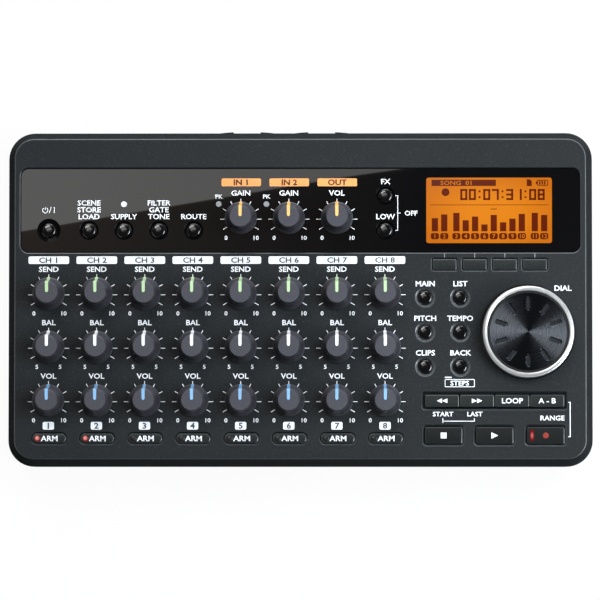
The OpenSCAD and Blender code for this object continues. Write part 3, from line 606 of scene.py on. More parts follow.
def arc(x, y, radius, start, end, steps):
    angles = [math.radians(start + (end - start) * k / steps) for k in range(steps + 1)]
    return [(x + radius * math.cos(a), y + radius * math.sin(a)) for a in angles]


def circle(x, y, radius, steps):
    return arc(x, y, radius, 0, 360 - 360 / steps, steps - 1)


def rounded(x, y, width, depth, radius, steps=4):
    """Outline of a box with rounded corners."""
    across, along = width / 2 - radius, depth / 2 - radius
    outline = []
    for turn, (sx, sy) in enumerate(((1, 1), (-1, 1), (-1, -1), (1, -1))):
        outline += arc(x + sx * across, y + sy * along, radius, 90 * turn, 90 * turn + 90, steps)
    return outline


def gather(shapes):
    """Joins shapes, each of points and faces, into one."""
    points, faces = [], []
    for more_points, more_faces in shapes:
        faces += [[len(points) + i for i in face] for face in more_faces]
        points += more_points
    return points, faces


class Sheet:
    """Gathers flat printed or moulded shapes into one piece."""

    def __init__(self, height, thickness, turn=UPRIGHT):
        self.low, self.high = height, height + thickness
        self.turn = turn
        self.points, self.faces = [], []

    def add(self, points, faces):
        start = len(self.points)
        self.points += [self.turn @ Vector(p) for p in points]
        self.faces += [[start + i for i in face] for face in faces]

    def prism(self, outline):
        count = len(outline)
        points = [(x, y, z) for z in (self.low, self.high) for x, y in outline]
        sides = [[i, (i + 1) % count, count + (i + 1) % count, count + i] for i in range(count)]
        self.add(points, [list(range(count))[::-1], list(range(count, 2 * count))] + sides)

    def bar(self, left, front, right, rear):
        self.prism([(left, front), (right, front), (right, rear), (left, rear)])

    def tag(self, x, y, width, depth, radius, steps=4):
        """A filled box with rounded corners."""
        self.prism(rounded(x, y, width, depth, radius, steps))

    def frame(self, x, y, width, depth, radius, line):
        """An outlined box with rounded corners."""
        inner = rounded(x, y, width - 2 * line, depth - 2 * line, max(radius - line, 0.01))
        self.loop(rounded(x, y, width, depth, radius), inner)

    def loop(self, outer, inner):
        count = len(outer)
        points = [(x, y, z) for z in (self.low, self.high) for ring in (outer, inner) for x, y in ring]
        faces = []
        for i in range(count):
            j = (i + 1) % count
            faces += [
                [i, count + i, count + j, j], [2 * count + i, 2 * count + j, 3 * count + j, 3 * count + i],
                [i, j, 2 * count + j, 2 * count + i], [count + j, count + i, 3 * count + i, 3 * count + j]]
        self.add(points, faces)

    def disc(self, x, y, radius, steps=24):
        self.prism(circle(x, y, radius, steps))

    def ring(self, x, y, outer, inner, steps=72):
        self.loop(circle(x, y, outer, steps), circle(x, y, inner, steps))

    def triangle(self, x, y, width, depth, way):
        """A triangle that points to the right where way is 1, and to the left where it is -1."""
        tip = way * width / 2
        self.prism([(x - tip, y - depth / 2), (x + tip, y), (x - tip, y + depth / 2)][::way])

    def words(self, text, x, y, capital=WORD, weight=BOLD, stretch=WIDE):
        """A line of type centred on x, with the middle of its capitals at y."""
        points, faces = letter_mesh(text, weight)
        scale, thick = capital / CAPITAL, self.high - self.low
        self.add([(x + p.x * scale * stretch, y + p.y * scale - capital / 2, self.low + (p.z + 0.5) * thick)
                  for p in points], faces)

    def piece(self, name, made, slot, body="case"):
        return new_piece(name, self.points, self.faces, made, body, slot)


def lathed(profile, x, z, steps):
    """A closed shape turned round an axis along y. The profile is a loop of radii and places on the axis."""
    count = len(profile)
    points, faces = [], []
    for k in range(steps):
        turn = 2 * math.pi * k / steps
        points += [(x + radius * math.cos(turn), along, z + radius * math.sin(turn))
                   for radius, along in profile]
        here, there = k * count, (k + 1) % steps * count
        for i in range(count):
            j = (i + 1) % count
            faces.append([here + i, here + j, there + j, there + i])
    return points, faces


def dome(x, y, z, profile, steps=24):
    """A closed lens turned round z. The profile runs from the middle of its foot to the middle of its top."""
    points = [(x, y, z + profile[0][1])]
    rings = profile[1:-1]
    for radius, up in rings:
        points += [(px, py, z + up) for px, py in circle(x, y, radius, steps)]
    points.append((x, y, z + profile[-1][1]))
    last = len(points) - 1
    faces = []
    for k in range(steps):
        j = (k + 1) % steps
        faces.append([0, 1 + j, 1 + k])
        for r in range(len(rings) - 1):
            a = 1 + r * steps
            faces.append([a + k, a + j, a + steps + j, a + steps + k])
        a = 1 + (len(rings) - 1) * steps
        faces.append([a + k, a + j, last])
    return points, faces


# Repeats made with Geometry Nodes


def scale_tree():
    """Marks round every dial: one straight mark, turned about each dial's centre."""
    name = "Dial scales"
    if name in bpy.data.node_groups:
        return bpy.data.node_groups[name]
    tree = bpy.data.node_groups.new(name, "GeometryNodeTree")
    for kind, label in (("Geometry", "Dials"), ("Int", "Ticks"), ("Float", "Step"), ("Float", "Inner Radius"),
                        ("Float", "Length"), ("Float", "Width"), ("Float", "Film"), ("Material", "Ink")):
        tree.interface.new_socket(label, in_out="INPUT", socket_type="NodeSocket" + kind)
    tree.interface.new_socket("Scales", in_out="OUTPUT", socket_type="NodeSocketGeometry")
    given = tree.nodes.new("NodeGroupInput").outputs

    def maths(operation, *terms):
        return value_node(tree, operation, *terms)

    def node(kind, **terms):
        return fill(tree, tree.nodes.new(kind), terms).outputs[0]

    half = maths("DIVIDE", maths("SUBTRACT", given["Ticks"], 1.0), 2.0)
    angle = maths("MULTIPLY", maths("SUBTRACT", node("GeometryNodeInputIndex"), half), given["Step"])
    middle = maths("ADD", given["Inner Radius"], maths("DIVIDE", given["Length"], 2.0))
    place = node("ShaderNodeCombineXYZ", X=maths("MULTIPLY", maths("SINE", angle), middle),
                 Y=maths("MULTIPLY", maths("COSINE", angle), middle))
    points = node("GeometryNodePoints", Count=given["Ticks"], Position=place)
    size = node("ShaderNodeCombineXYZ", X=given["Width"], Y=given["Length"], Z=given["Film"])
    turn = node("ShaderNodeCombineXYZ", Z=maths("MULTIPLY", angle, -1.0))
    mark = node("GeometryNodeMeshCube", Size=size)
    marks = node("GeometryNodeInstanceOnPoints", Points=points, Instance=mark,
                 Rotation=node("FunctionNodeEulerToRotation", Euler=turn))
    one = node("GeometryNodeRealizeInstances", Geometry=marks)
    every = node("GeometryNodeInstanceOnPoints", Points=given["Dials"], Instance=one)
    whole = node("GeometryNodeRealizeInstances", Geometry=every)
    inked = node("GeometryNodeSetMaterial", Geometry=whole, Material=given["Ink"])
    fill(tree, tree.nodes.new("NodeGroupOutput"), {"Scales": inked})
    return tree


def grown(name, tree, points, values, body):
    """Runs a Geometry Nodes tree on loose points and keeps the result as a plain mesh piece."""
    seed = bpy.data.meshes.new(name + "_seed")
    seed.from_pydata([Vector(p) * MM for p in points], [], [])
    holder = bpy.data.objects.new(name + "_seed", seed)
    modifier = holder.modifiers.new("grow", "NODES")
    modifier.node_group = tree
    for item in tree.interface.items_tree:
        if item.item_type == "SOCKET" and item.in_out == "INPUT" and item.name in values:
            modifier[item.identifier] = values[item.name]
    mesh = evaluated_mesh(holder)
    mesh.name = name
    bpy.data.meshes.remove(seed)
    return settle(mesh, body)


# Operators, one for each piece or group of like pieces


class RECORDER_OT_case(Operator):
    """Finish the case, its doors, feet, screws and inner pieces"""
    bl_idname = "recorder.case"
    bl_label = "Case"

    def execute(self, context):
        finish = context.scene.recorder_finish
        # The panel's chamfers and edges get a painted highlight, and its steep sides a painted shade
        dress(moulded("Panel satin", finish.panel, cell=0.0005, spread=0.2, specks=0.35, bump=0.3,
                      depth=0.00003, edges=(1.0, 2.2), flank=0.7, specular=0.0, coat_rough=0.32), "top_case")
        dress(moulded("Body grain", finish.body, cell=0.0006, spread=0.12, rough=0.58, bump=0.4,
                      depth=0.00004, specular=0.2), "bottom_case", "battery_door", "card_door", "rear_panel")
        dress(moulded("Foot rubber", srgb(22, 22, 23), cell=0.0008, rough=0.85, bump=0.5, depth=0.00006),
              "rubber_feet")
        dress(moulded("Plated steel", srgb(168, 170, 172), cell=0.0008, spread=0.08, rough=0.34, metal=1.0),
              "rotary_controls", "tact_switches", "microphone_capsules", "battery_contacts", "port_sockets")
        dress(moulded("Black screw", srgb(62, 63, 66), cell=0.0006, rough=0.42, metal=1.0), "screws")
        dress(moulded("Solder mask", srgb(20, 82, 52), cell=0.0012, spread=0.2, rough=0.4), "circuit_boards")
        return DONE


class RECORDER_OT_window(Operator):
    """Finish the glossy window"""
    bl_idname = "recorder.window"
    bl_label = "Window"

    def execute(self, context):
        gloss = moulded("Window gloss", context.scene.recorder_finish.window, cell=0.004, spread=0.05,
                        rough=0.3, bump=0.0, edges=(1.0, 0.0), coat="Flat Gloss", specular=0.0,
                        coat_rough=0.01)
        dress(gloss, "window_panel")
        return DONE


# Lit bars of each seven-segment figure: a to f run clockwise from the top, and g is in the middle
SEGMENTS = {
    "0": "abcdef", "1": "bc", "2": "abged", "3": "abgcd", "4": "fgbc",
    "5": "afgcd", "6": "afgedc", "7": "abc", "8": "abcdefg", "9": "abcdfg"}
METER_X = [-20.55, -17.0] + [-12.4 + 3.54 * k for k in range(8)] + [17.3, 20.85]
METER_HEIGHTS = (5.0, 6.4, 7.0, 4.2, 5.6, 2.6, 6.2, 3.4, 4.8, 6.6, 7.0, 6.2)
METER_HALF, METER_FOOT, METER_TAG_DOWN = 1.18, -7.95, 1.85
PEAK_METER, PEAK_LOW, PEAK_HIGH = 6, 8.3, 8.6
HEADER_UP, SMALL_TYPE = 10.45, 1.55


class RECORDER_OT_display(Operator):
    """Make the lit picture of the display"""
    bl_idname = "recorder.display"
    bl_label = "Display"

    def execute(self, context):
        setting = context.scene.recorder_display
        film = film_of(context)
        x, y = DISPLAY_AT
        reach = (setting.width / 2, setting.depth / 2)
        dress(moulded("Display body", setting.glow, spread=0.03, rough=0.4), "display_module")
        glow = lit("Display backlight", setting.glow, setting.edge, DISPLAY_AT, reach)
        deep = tuple(v * 0.8 for v in setting.segment)
        dark = lit("Display segments", setting.segment, deep, DISPLAY_AT, reach)
        field = Sheet(WINDOW_Z, film)
        field.tag(x, y, setting.width / MM, setting.depth / MM, 0.9)
        field.piece("display_field", glow, "display")

        picture = Sheet(WINDOW_Z + film, film / 2)
        self.header(picture, x, y + HEADER_UP)
        picture.disc(x - 16.5, y + 6.9, 1.5, 16)
        self.clock(picture, x - 10.9, y + 3.9)
        dots, dot, pitch = 76, 0.35, 0.59
        for k in range(dots):
            left = x - 22.3 + k * pitch
            picture.bar(left, y + 1.9, left + dot, y + 1.9 + dot)
        foot = y + METER_FOOT
        for across, tall in zip(METER_X, METER_HEIGHTS):
            picture.bar(x + across - METER_HALF, foot, x + across + METER_HALF, foot + tall)
            picture.tag(x + across, foot - METER_TAG_DOWN, 3.1, 2.4, 0.75, 3)
        peak = x + METER_X[PEAK_METER]
        picture.bar(peak - METER_HALF, foot + PEAK_LOW, peak + METER_HALF, foot + PEAK_HIGH)
        picture.piece("display_segments", dark, "display")

        reverse = Sheet(WINDOW_Z + film * 1.5, film / 4)
        reverse.words("SONG  01", x - 12.3, y + HEADER_UP, SMALL_TYPE, THIN, 1.25)
        for k, across in enumerate(METER_X):
            reverse.words(str(k + 1), x + across, foot - METER_TAG_DOWN, SMALL_TYPE, THIN, PLAIN)
        reverse.piece("display_reversed_type", glow, "display")
        return DONE

    def header(self, picture, x, y):
        """The title's field, a memory card and a full battery."""
        picture.tag(x - 9.6, y, 24.4, 2.35, 0.1)
        left, right, front, rear, corner = x + 14.3, x + 16.2, y - 1.25, y + 1.3, 0.7
        picture.prism([(left, front), (right, front), (right, rear - corner), (right - corner, rear),
                       (left, rear)])
        picture.frame(x + 20.3, y, 4.2, 2.2, 0.4, 0.3)
        picture.bar(x + 17.75, y - 0.5, x + 18.25, y + 0.5)
        for k in range(3):
            left = x + 18.95 + k * 0.95
            picture.bar(left, y - 0.65, left + 0.55, y + 0.65)

    def clock(self, picture, x, y):
        """A made-up time, with its lower left corner at x, y."""
        digit_step, colon_step = 3.25, 2.2
        for mark in "00:07:31:08":
            if mark == ":":
                for up in (1.1, 3.3):
                    picture.bar(x + 0.45, y + up - 0.35, x + 1.15, y + up + 0.35)
                x += colon_step
            else:
                self.digit(picture, mark, x, y)
                x += digit_step

    def digit(self, picture, figure, x, y, width=2.65, height=4.2, line=0.76):
        """One seven-segment figure with its lower left corner at x, y."""
        middle, right, top = y + height / 2, x + width, y + height
        bars = {
            "a": (x, top - line, right, top), "b": (right - line, middle, right, top),
            "c": (right - line, y, right, middle), "d": (x, y, right, y + line),
            "e": (x, y, x + line, middle), "f": (x, middle, x + line, top),
            "g": (x, middle - line / 2, right, middle + line / 2)}
        for name in SEGMENTS[figure]:
            picture.bar(*bars[name])


KNOB_R, KNOB_TOP_R, KNOB_H = 6.1, 4.2, 11.0
POINTER_SUNK, POINTER_COLUMNS = 0.24, 8


def knob_outline(sink):
    """Half outline of a knob cap from its foot to its middle, drawn in by an amount, as in the CAD source."""
    skirt, flare_foot, flare_share, flare_curve, bends = 1.0, 1.3, 0.62, 2.4, 8
    neck, flare_in, rim_out, rim, shoulder = 0.2, 0.55, 0.05, 0.45, 0.35
    flare = []
    for k in range(bends + 1):
        t = k / bends
        spread = (KNOB_R - flare_in - KNOB_TOP_R) * (1 - t) ** flare_curve
        flare.append((KNOB_TOP_R + neck + spread - sink, flare_foot + t * KNOB_H * flare_share))
    return [(KNOB_R - sink, skirt), *flare, (KNOB_TOP_R + rim_out - sink, KNOB_H - rim - sink / 2),
            (KNOB_TOP_R - shoulder - sink, KNOB_H - sink), (0.0, KNOB_H - sink)]


def pointer_shape(at, foot, width, proud):
    """The inlay of one knob: a strip down the cap with a round end at its middle."""
    upper, lower = knob_outline(-proud), knob_outline(POINTER_SUNK)
    points, faces = [], []
    rows, line = len(upper), POINTER_COLUMNS + 1
    for outline in (upper, lower):
        for k, (along, up) in enumerate(outline):
            for c in range(line):
                across = width * (c / POINTER_COLUMNS - 0.5)
                end = width / 2 - math.sqrt(max(width * width / 4 - across * across, 0))
                points.append((at[0] + across, at[1] + (end if k == rows - 1 else along), foot + up))
    layer = rows * line
    for k in range(rows - 1):
        for c in range(POINTER_COLUMNS):
            a, b = k * line + c, k * line + c + 1
            faces.append([a, b, b + line, a + line])
            faces.append([layer + a + line, layer + b + line, layer + b, layer + a])
    rim = ([(0, c) for c in range(line)] + [(k, line - 1) for k in range(1, rows)]
           + [(rows - 1, c) for c in range(line - 2, -1, -1)] + [(k, 0) for k in range(rows - 2, 0, -1)])
    ids = [k * line + c for k, c in rim]
    for a, b in zip(ids, ids[1:] + ids[:1]):
        faces.append([b, a, layer + a, layer + b])
    return points, faces


class RECORDER_OT_knobs(Operator):
    """Finish the knobs and lay in their pointers"""
    bl_idname = "recorder.knobs"
    bl_label = "Knobs"

    def execute(self, context):
        setting = context.scene.recorder_knobs
        width, proud = setting.pointer_width / MM, setting.pointer_proud / MM
        # The caps' steep flanks get a painted shade, except at the rear
        cap = moulded("Knob satin", context.scene.recorder_finish.knob, spread=0.1, specks=0.15, rough=0.45,
                      depth=0.00003, edges=(0.6, 0.0), flank=0.5, specular=0.15, coat_rough=0.35)
        top = top_of(INPUT_KNOBS[0])
        for names, label in ((TRACK_KNOBS["reverb"], "green"), (TRACK_KNOBS["pan"], "white"),
                             (TRACK_KNOBS["level"], "blue"), (INPUT_KNOBS, "amber")):
            paint = pointer_paint("Pointer " + label, getattr(setting, label), top)
            for name in names:
                smoothed(name, cap, name, 14)
                shape = pointer_shape(DIAL_AT[name], top - KNOB_H, width, proud)
                new_piece(name.replace("_knob", "_pointer"), *shape, paint, name, "knob_plastic", smooth=35)
        return DONE


class RECORDER_OT_scales(Operator):
    """Print the marks round the dials"""
    bl_idname = "recorder.scales"
    bl_label = "Dial scales"

    def execute(self, context):
        setting = context.scene.recorder_print
        tree = scale_tree()
        values = {
            "Ticks": setting.ticks, "Step": setting.tick_step, "Inner Radius": setting.tick_inner,
            "Length": setting.tick_length, "Width": setting.tick_width, "Film": setting.film,
            "Ink": white_ink(context)}
        for name, dials, height in (
                ("track_dial_scales", [n for row in ROWS for n in TRACK_KNOBS[row]], PANEL_Z),
                ("input_dial_scales", INPUT_KNOBS, WINDOW_Z)):
            points = [(*print_at(n), height + setting.film / MM / 2) for n in dials]
            grown(name, tree, points, values, "case")
        return DONE


class RECORDER_OT_wheel(Operator):
    """Finish the data wheel and its ring"""
    bl_idname = "recorder.wheel"
    bl_label = "Data wheel"

    def execute(self, context):
        finish = context.scene.recorder_finish
        film = film_of(context)
        dress(turned("Wheel spun", finish.wheel, WHEEL_AT, metal=1.0, stretch=1.0, turn=0.157, spread=0.12,
                     rough=0.27, rough_spread=0.04, bump=0.05), "data_wheel")
        # The ring's upright outer side gets a painted shade, which stands in for the dark gap round it
        satin = turned("Ring satin", finish.ring, WHEEL_AT, metal=0.72, stretch=0.85, turn=0.178,
                       pitch=0.00025, spread=0.05, rough=0.35, wall=0.06)
        smoothed("data_wheel_ring", satin, "data_wheel", 50)

        rim_r, rim_w, rim_h = 15.9, 1.25, 0.15
        face = top_of("data_wheel") - rim_h
        slots, slot_edge, slot_length, slot_width, slot_depth = 10, 2.1, 5.3, 1.5, 0.9
        from_middle = rim_r - slot_edge - slot_length / 2
        outline = rounded(from_middle, 0, slot_length - 0.4, slot_width, slot_width / 2 - 0.01)
        floors = Sheet(face - slot_depth, film)
        for k in range(slots):
            turn = Matrix.Rotation(math.pi / 2 + 2 * math.pi * k / slots, 2)
            floors.prism([tuple(turn @ Vector(p) + Vector(WHEEL_AT)) for p in outline])
        # The slot floors are a plain unspun satin, darker than the spun face: partly their own finish, partly
        # painted shade in the recesses
        plain = moulded("Slot satin", srgb(34, 36, 40), cell=0.0006, specular=0.2)
        floors.piece("wheel_slot_floors", plain, "knob_plastic", "data_wheel")

        # Painted shade: black rings on the disc's rim and on the recess floor round the ring stand in for the
        # shadow in the gaps
        painted_gap_shade = moulded("Rim black", srgb(12, 12, 13))
        rim = Sheet(face, rim_h + film)
        rim.ring(*WHEEL_AT, rim_r, rim_r - rim_w)
        rim.piece("wheel_rim", painted_gap_shade, "knob_plastic", "data_wheel")
        gap_outer, gap_inner, gap_depth = 17.95, 16.6, 0.8
        gap = Sheet(PANEL_Z - gap_depth, film)
        gap.ring(*WHEEL_AT, gap_outer, gap_inner)
        gap.piece("wheel_gap", painted_gap_shade, "case_plastic")
        return DONE


class RECORDER_OT_buttons(Operator):
    """Finish the round buttons"""
    bl_idname = "recorder.buttons"
    bl_label = "Round buttons"

    def execute(self, context):
        gloss = moulded("Button gloss", context.scene.recorder_finish.button, cell=0.002, spread=0.05,
                        rough=0.1, rough_spread=0.02, bump=0.02, specular=0.9)
        rise, foot, fullness, rings, steps = 1.2, 4.0, 3.0, 24, 40
        profile = [(0.0, -foot), (BUTTON_R, -foot)]
        for k in range(rings):
            share = math.cos(math.pi / 2 * k / rings)
            profile.append((BUTTON_R * share, rise * ((1 - share ** fullness) ** (1 / fullness) - 1)))
        profile.append((0.0, 0.0))
        for node, places in BUTTONS_AT.items():
            points, faces = gather(dome(x, y, top_of(node), profile, steps) for x, y in places)
            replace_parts(new_piece(node + "_caps", points, faces, gloss, node, "key_plastic", smooth=50), node)
        return DONE


KEY_WORDS = {"repeat_button": "LOOP", "in_out_button": "A - B"}
ARMED = 2


class RECORDER_OT_keys(Operator):
    """Finish the keys and put their signs and lamps on"""
    bl_idname = "recorder.keys"
    bl_label = "Keys"

    def execute(self, context):
        finish = context.scene.recorder_finish
        for label, nodes, tone, rise, rough in (
                ("Slot key satin", SLOT_KEYS, finish.key, 0.0003, 0.4),
                ("Main key satin", MAIN_KEYS, finish.main_key, 0.0003, 0.4),
                ("Arm key satin", ("rec_arm_buttons",), finish.key, 0.0004, 0.3),
                ("Function key satin", ("function_buttons",), finish.key, 0.0005, 0.3)):
            low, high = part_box(nodes[0])
            crown = ((low.y + high.y) / 2, high.y - low.y, rise)
            # Each key's chamfers get a painted highlight in their colour
            dress(moulded(label, tone, cell=0.0005, spread=0.1, rough=rough, bump=0.12, edges=(1.0, 1.5),
                          crown=crown, specular=0.15, coat_rough=0.3), *nodes)
        film, white = film_of(context), white_ink(context)
        for node in SLOT_KEYS + MAIN_KEYS:
            sign = Sheet(top_of(node), film)
            self.draw_sign(sign, node, *centre_of(node))
            made = ink("Red ink", srgb(130, 40, 30)) if node == "record_button" else white
            sign.piece(node.replace("button", "sign"), made, "key_plastic", node)
        self.record_lamp(context, film)
        self.arm_keys(film, white)
        return DONE

    def draw_sign(self, sign, node, x, y):
        """The sign of one key, centred on x, y."""
        if node in ("rewind_button", "forward_button"):
            for side in (-1, 1):
                sign.triangle(x + side, y, 2.0, 1.75, 1 if node == "forward_button" else -1)
        elif node in KEY_WORDS:
            sign.words(KEY_WORDS[node], x, y)
        elif node == "stop_button":
            half = 1.1
            sign.bar(x - half, y - half, x + half, y + half)
        elif node == "play_button":
            sign.triangle(x, y, 2.5, 2.4, 1)
        else:
            sign.disc(x, y, 1.12)

    def record_lamp(self, context, film):
        """The lit bar at the left of the record key."""
        node = "record_button"
        x, y = centre_of(node)
        x -= 5.2
        made = lit("Red lamp", context.scene.recorder_display.lamp, srgb(100, 22, 24), (x, y),
                   (0.0006, 0.0013), 0.2)
        bar = Sheet(top_of(node), film)
        bar.tag(x, y, 1.5, 4.3, 0.3)
        bar.piece("record_lamp", made, "display", node)

    def arm_keys(self, film, white):
        """Words and lamps of the record-arm keys. The first two are armed."""
        node, lamp_aside, word_aside = "rec_arm_buttons", -4.35, 0.2
        (middle, y), top = centre_of(node), top_of(node)
        keys_x = [x + middle - sum(TRACK_X) / len(TRACK_X) for x in TRACK_X]
        words = Sheet(top, film)
        for x in keys_x:
            words.words("ARM", x + word_aside, y, 1.95, 0.022)
        words.piece("rec_arm_words", white, "key_plastic", node)
        off = moulded("Dark lamp", srgb(30, 29, 30), cell=0.001, rough=0.35)
        profile = [(0.0, 0.0), (1.2, 0.0), (1.2, 0.05), (1.05, 0.2), (0.6, 0.32), (0.0, 0.36)]
        for i, x in zip(TRACKS, keys_x):
            at = x + lamp_aside
            made = lit(f"Armed lamp {i}", srgb(226, 138, 132), srgb(104, 30, 36), (at - 0.15, y + 0.15),
                       (0.00085, 0.00085), 0.2) if i <= ARMED else off
            new_piece(f"arm_lamp_{i}", *dome(at, y, top, profile), made, node, "display", smooth=60)


TRACK_BOX_Y, TRACK_FIGURE_Y, ROW_WORD_UP, DIAL_FIGURE_DOWN = 14.75, -48.0, 9.7, 7.05
# For each row of track knobs its word, its lowest and highest figure, and how far these stand aside
ROW_PRINT = {
    "reverb": ("SEND", "0", "10", 5.6), "pan": ("BAL", "5", "5", 4.4), "level": ("VOL", "0", "10", 5.6)}
MENU_WORDS = (("MAIN", "LIST"), ("PITCH", "TEMPO"), ("CLIPS", "BACK"))
MENU_PITCH, MENU_WORD_UP = 13.1, 5.25
# Text, x, y and height of the capitals
RIGHT_WORDS = (
    ("DIAL", 99.4, 4.05, WORD), ("STEPS", 60.35, -31.9, 1.75), ("START", 54.0, -43.6, 1.65),
    ("LAST", 66.0, -43.6, 1.65), ("RANGE", 95.3, -45.1, 1.75))
# Middle, width, depth, corner radius and line of the box round a word
STEPS_BOX = (60.35, -31.9, 11.3, 3.0, 0.35, 0.24)
# Left, front, right and rear of the lines and brackets round the words
RIGHT_LINES = (
    (54.7, -29.95, 57.3, -29.5), (53.8, -46.4, 66.0, -46.15), (65.7, -46.1, 66.0, -45.2),
    (53.8, -46.95, 54.1, -45.2), (101.9, -52.3, 102.2, -39.0), (101.3, -39.3, 101.9, -39.0),
    (101.3, -52.3, 101.9, -52.0))


class RECORDER_OT_panel_print(Operator):
    """Print the words, boxes and lines of the control panel"""
    bl_idname = "recorder.panel_print"
    bl_label = "Panel print"

    def execute(self, context):
        setting, film = context.scene.recorder_print, film_of(context)
        sheet, over = Sheet(PANEL_Z, film), Sheet(PANEL_Z + film, film / 2)
        for i, x in zip(TRACKS, TRACK_X):
            sheet.tag(x, TRACK_BOX_Y, 15.4, 2.85, 0.6)
            over.words(f"CH {i}", x, TRACK_BOX_Y, 1.95, 0.03, 1.2)
            sheet.tag(x, TRACK_FIGURE_Y, 4.3, 2.95, 0.6)
            over.words(str(i), x, TRACK_FIGURE_Y, 2.1, 0.03)
            for row, (word, low, high, aside) in ROW_PRINT.items():
                y = print_at(TRACK_KNOBS[row][0])[1]
                sheet.words(word, x, y + ROW_WORD_UP)
                sheet.words(low, x - aside, y - DIAL_FIGURE_DOWN, FIGURE)
                sheet.words(high, x + aside, y - DIAL_FIGURE_DOWN, FIGURE)
        for k, pair in enumerate(MENU_WORDS):
            for (x, _), word in zip(BUTTONS_AT["menu_buttons"], pair):
                sheet.words(word, x, WHEEL_AT[1] + MENU_PITCH * (1 - k) + MENU_WORD_UP)
        for text, x, y, capital in RIGHT_WORDS:
            sheet.words(text, x, y, capital)
        for line in RIGHT_LINES:
            sheet.bar(*line)
        sheet.frame(*STEPS_BOX)
        self.key_lines(film)
        sheet.piece("panel_print", white_ink(context), "case_plastic")
        over.piece("panel_figures", ink("Dark ink", setting.dark), "case_plastic")
        return DONE

    def key_lines(self, film):
        """Thin lines from the window down to the function keys."""
        lines = Sheet(PANEL_Z, film)
        low, high = box_of("function_buttons")
        keys, half_key, half_line, into_key, off_window = 4, 4.6, 0.13, 0.2, 0.4
        rear = box_of("window_panel")[0].y - off_window
        first, last = low.x + half_key, high.x - half_key
        for k in range(keys):
            x = first + (last - first) * k / (keys - 1)
            lines.bar(x - half_line, high.y - into_key, x + half_line, rear)
        lines.piece("key_lines", grey_ink(), "case_plastic")


INPUT_PRINT = (("IN 1", "GAIN"), ("IN 2", "GAIN"), ("OUT", "VOL"))
INPUT_BOX_ASIDE, INPUT_BOX_Y, INPUT_WORD_Y = 0.15, 44.3, 40.25
INPUT_FIGURE_ASIDE, INPUT_FIGURE_DOWN = 5.6, 7.1
SETUP_WORDS = (("SCENE", "STORE", "LOAD"), ("SUPPLY",), ("FILTER", "GATE", "TONE"), ("ROUTE",))
SETUP_WORD_Y, SETUP_LINE_UP, SETUP_CAPITAL, SETUP_LAMP = 31.3, 2.6, 1.87, 1
PEAK_LAMP_X, PEAK_WORD_Y, LAMP_Y, LAMP_R = (-30.9, -12.8), 38.9, 36.05, 1.07
POWER_SIGN_UP, MUTE_WORDS, OFF_WORD = 7.75, (("FX", 44.55), ("LOW", 31.25)), ("OFF", 42.0, 32.55, 1.75)
# Left, front, right and rear of the bracket beside the mute buttons
MUTE_LINES = (
    (36.85, 25.9, 37.1, 39.3), (36.1, 39.05, 36.85, 39.3), (36.1, 25.9, 36.85, 26.15),
    (37.1, 32.45, 38.0, 32.7))


class RECORDER_OT_window_print(Operator):
    """Print the words, boxes and lamps on the window"""
    bl_idname = "recorder.window_print"
    bl_label = "Window print"

    def execute(self, context):
        setting, film = context.scene.recorder_print, film_of(context)
        sheet, boxes, lamps = (Sheet(WINDOW_Z, film) for _ in range(3))
        over = Sheet(WINDOW_Z + film, film / 2)
        for name, (word, label) in zip(INPUT_KNOBS, INPUT_PRINT):
            x, y = print_at(name)
            boxes.tag(x + INPUT_BOX_ASIDE, INPUT_BOX_Y, 15.0, 3.0, 0.55)
            over.words(word, x + INPUT_BOX_ASIDE, INPUT_BOX_Y, 2.0, 0.036, 1.15)
            sheet.words(label, x, INPUT_WORD_Y)
            sheet.words("0", x - INPUT_FIGURE_ASIDE, y - INPUT_FIGURE_DOWN, FIGURE)
            sheet.words("10", x + INPUT_FIGURE_ASIDE, y - INPUT_FIGURE_DOWN, FIGURE)
        for x in PEAK_LAMP_X:
            sheet.words("PK", x, PEAK_WORD_Y, FIGURE)
            lamps.disc(x, LAMP_Y, LAMP_R)
        x, y = centre_of("power_button")
        self.power_sign(sheet, x, y + POWER_SIGN_UP)
        for k, ((x, _), lines) in enumerate(zip(BUTTONS_AT["setup_buttons"], SETUP_WORDS)):
            for n, word in enumerate(reversed(lines)):
                sheet.words(word, x, SETUP_WORD_Y + SETUP_LINE_UP * n, SETUP_CAPITAL)
            if k == SETUP_LAMP:
                sheet.disc(x, LAMP_Y, LAMP_R)
        x = centre_of("mute_buttons")[0]
        for word, y in MUTE_WORDS:
            sheet.words(word, x, y)
        sheet.words(*OFF_WORD)
        for line in MUTE_LINES:
            sheet.bar(*line)
        sheet.piece("window_print", white_ink(context), "window_plastic")
        boxes.piece("input_boxes", ink("Amber ink", setting.amber), "window_plastic")
        over.piece("input_figures", ink("Brown ink", srgb(66, 32, 12)), "window_plastic")
        grey = moulded("Grey lamp", srgb(150, 152, 156), cell=0.0006, rough=0.3)
        lamps.piece("overload_lamps", grey, "window_plastic")
        return DONE

    def power_sign(self, sheet, x, y):
        """The usual broken ring, a slash and an upright line."""
        line, start, end, steps = 0.28, 120, 420, 20
        ring_x, radius, half = x - 1.4, 0.98, 1.15
        outer, inner = (
            arc(ring_x, y - 0.12, radius + side * line / 2, start, end, steps) for side in (1, -1))
        sheet.prism(outer + inner[::-1])
        sheet.bar(ring_x - line / 2, y - 0.05, ring_x + line / 2, y + half)
        sheet.prism([(x - 0.1, y - half), (x + 0.18, y - half), (x + 1.0, y + half), (x + 0.72, y + half)])
        sheet.bar(x + 1.85, y - half, x + 2.15, y + half)


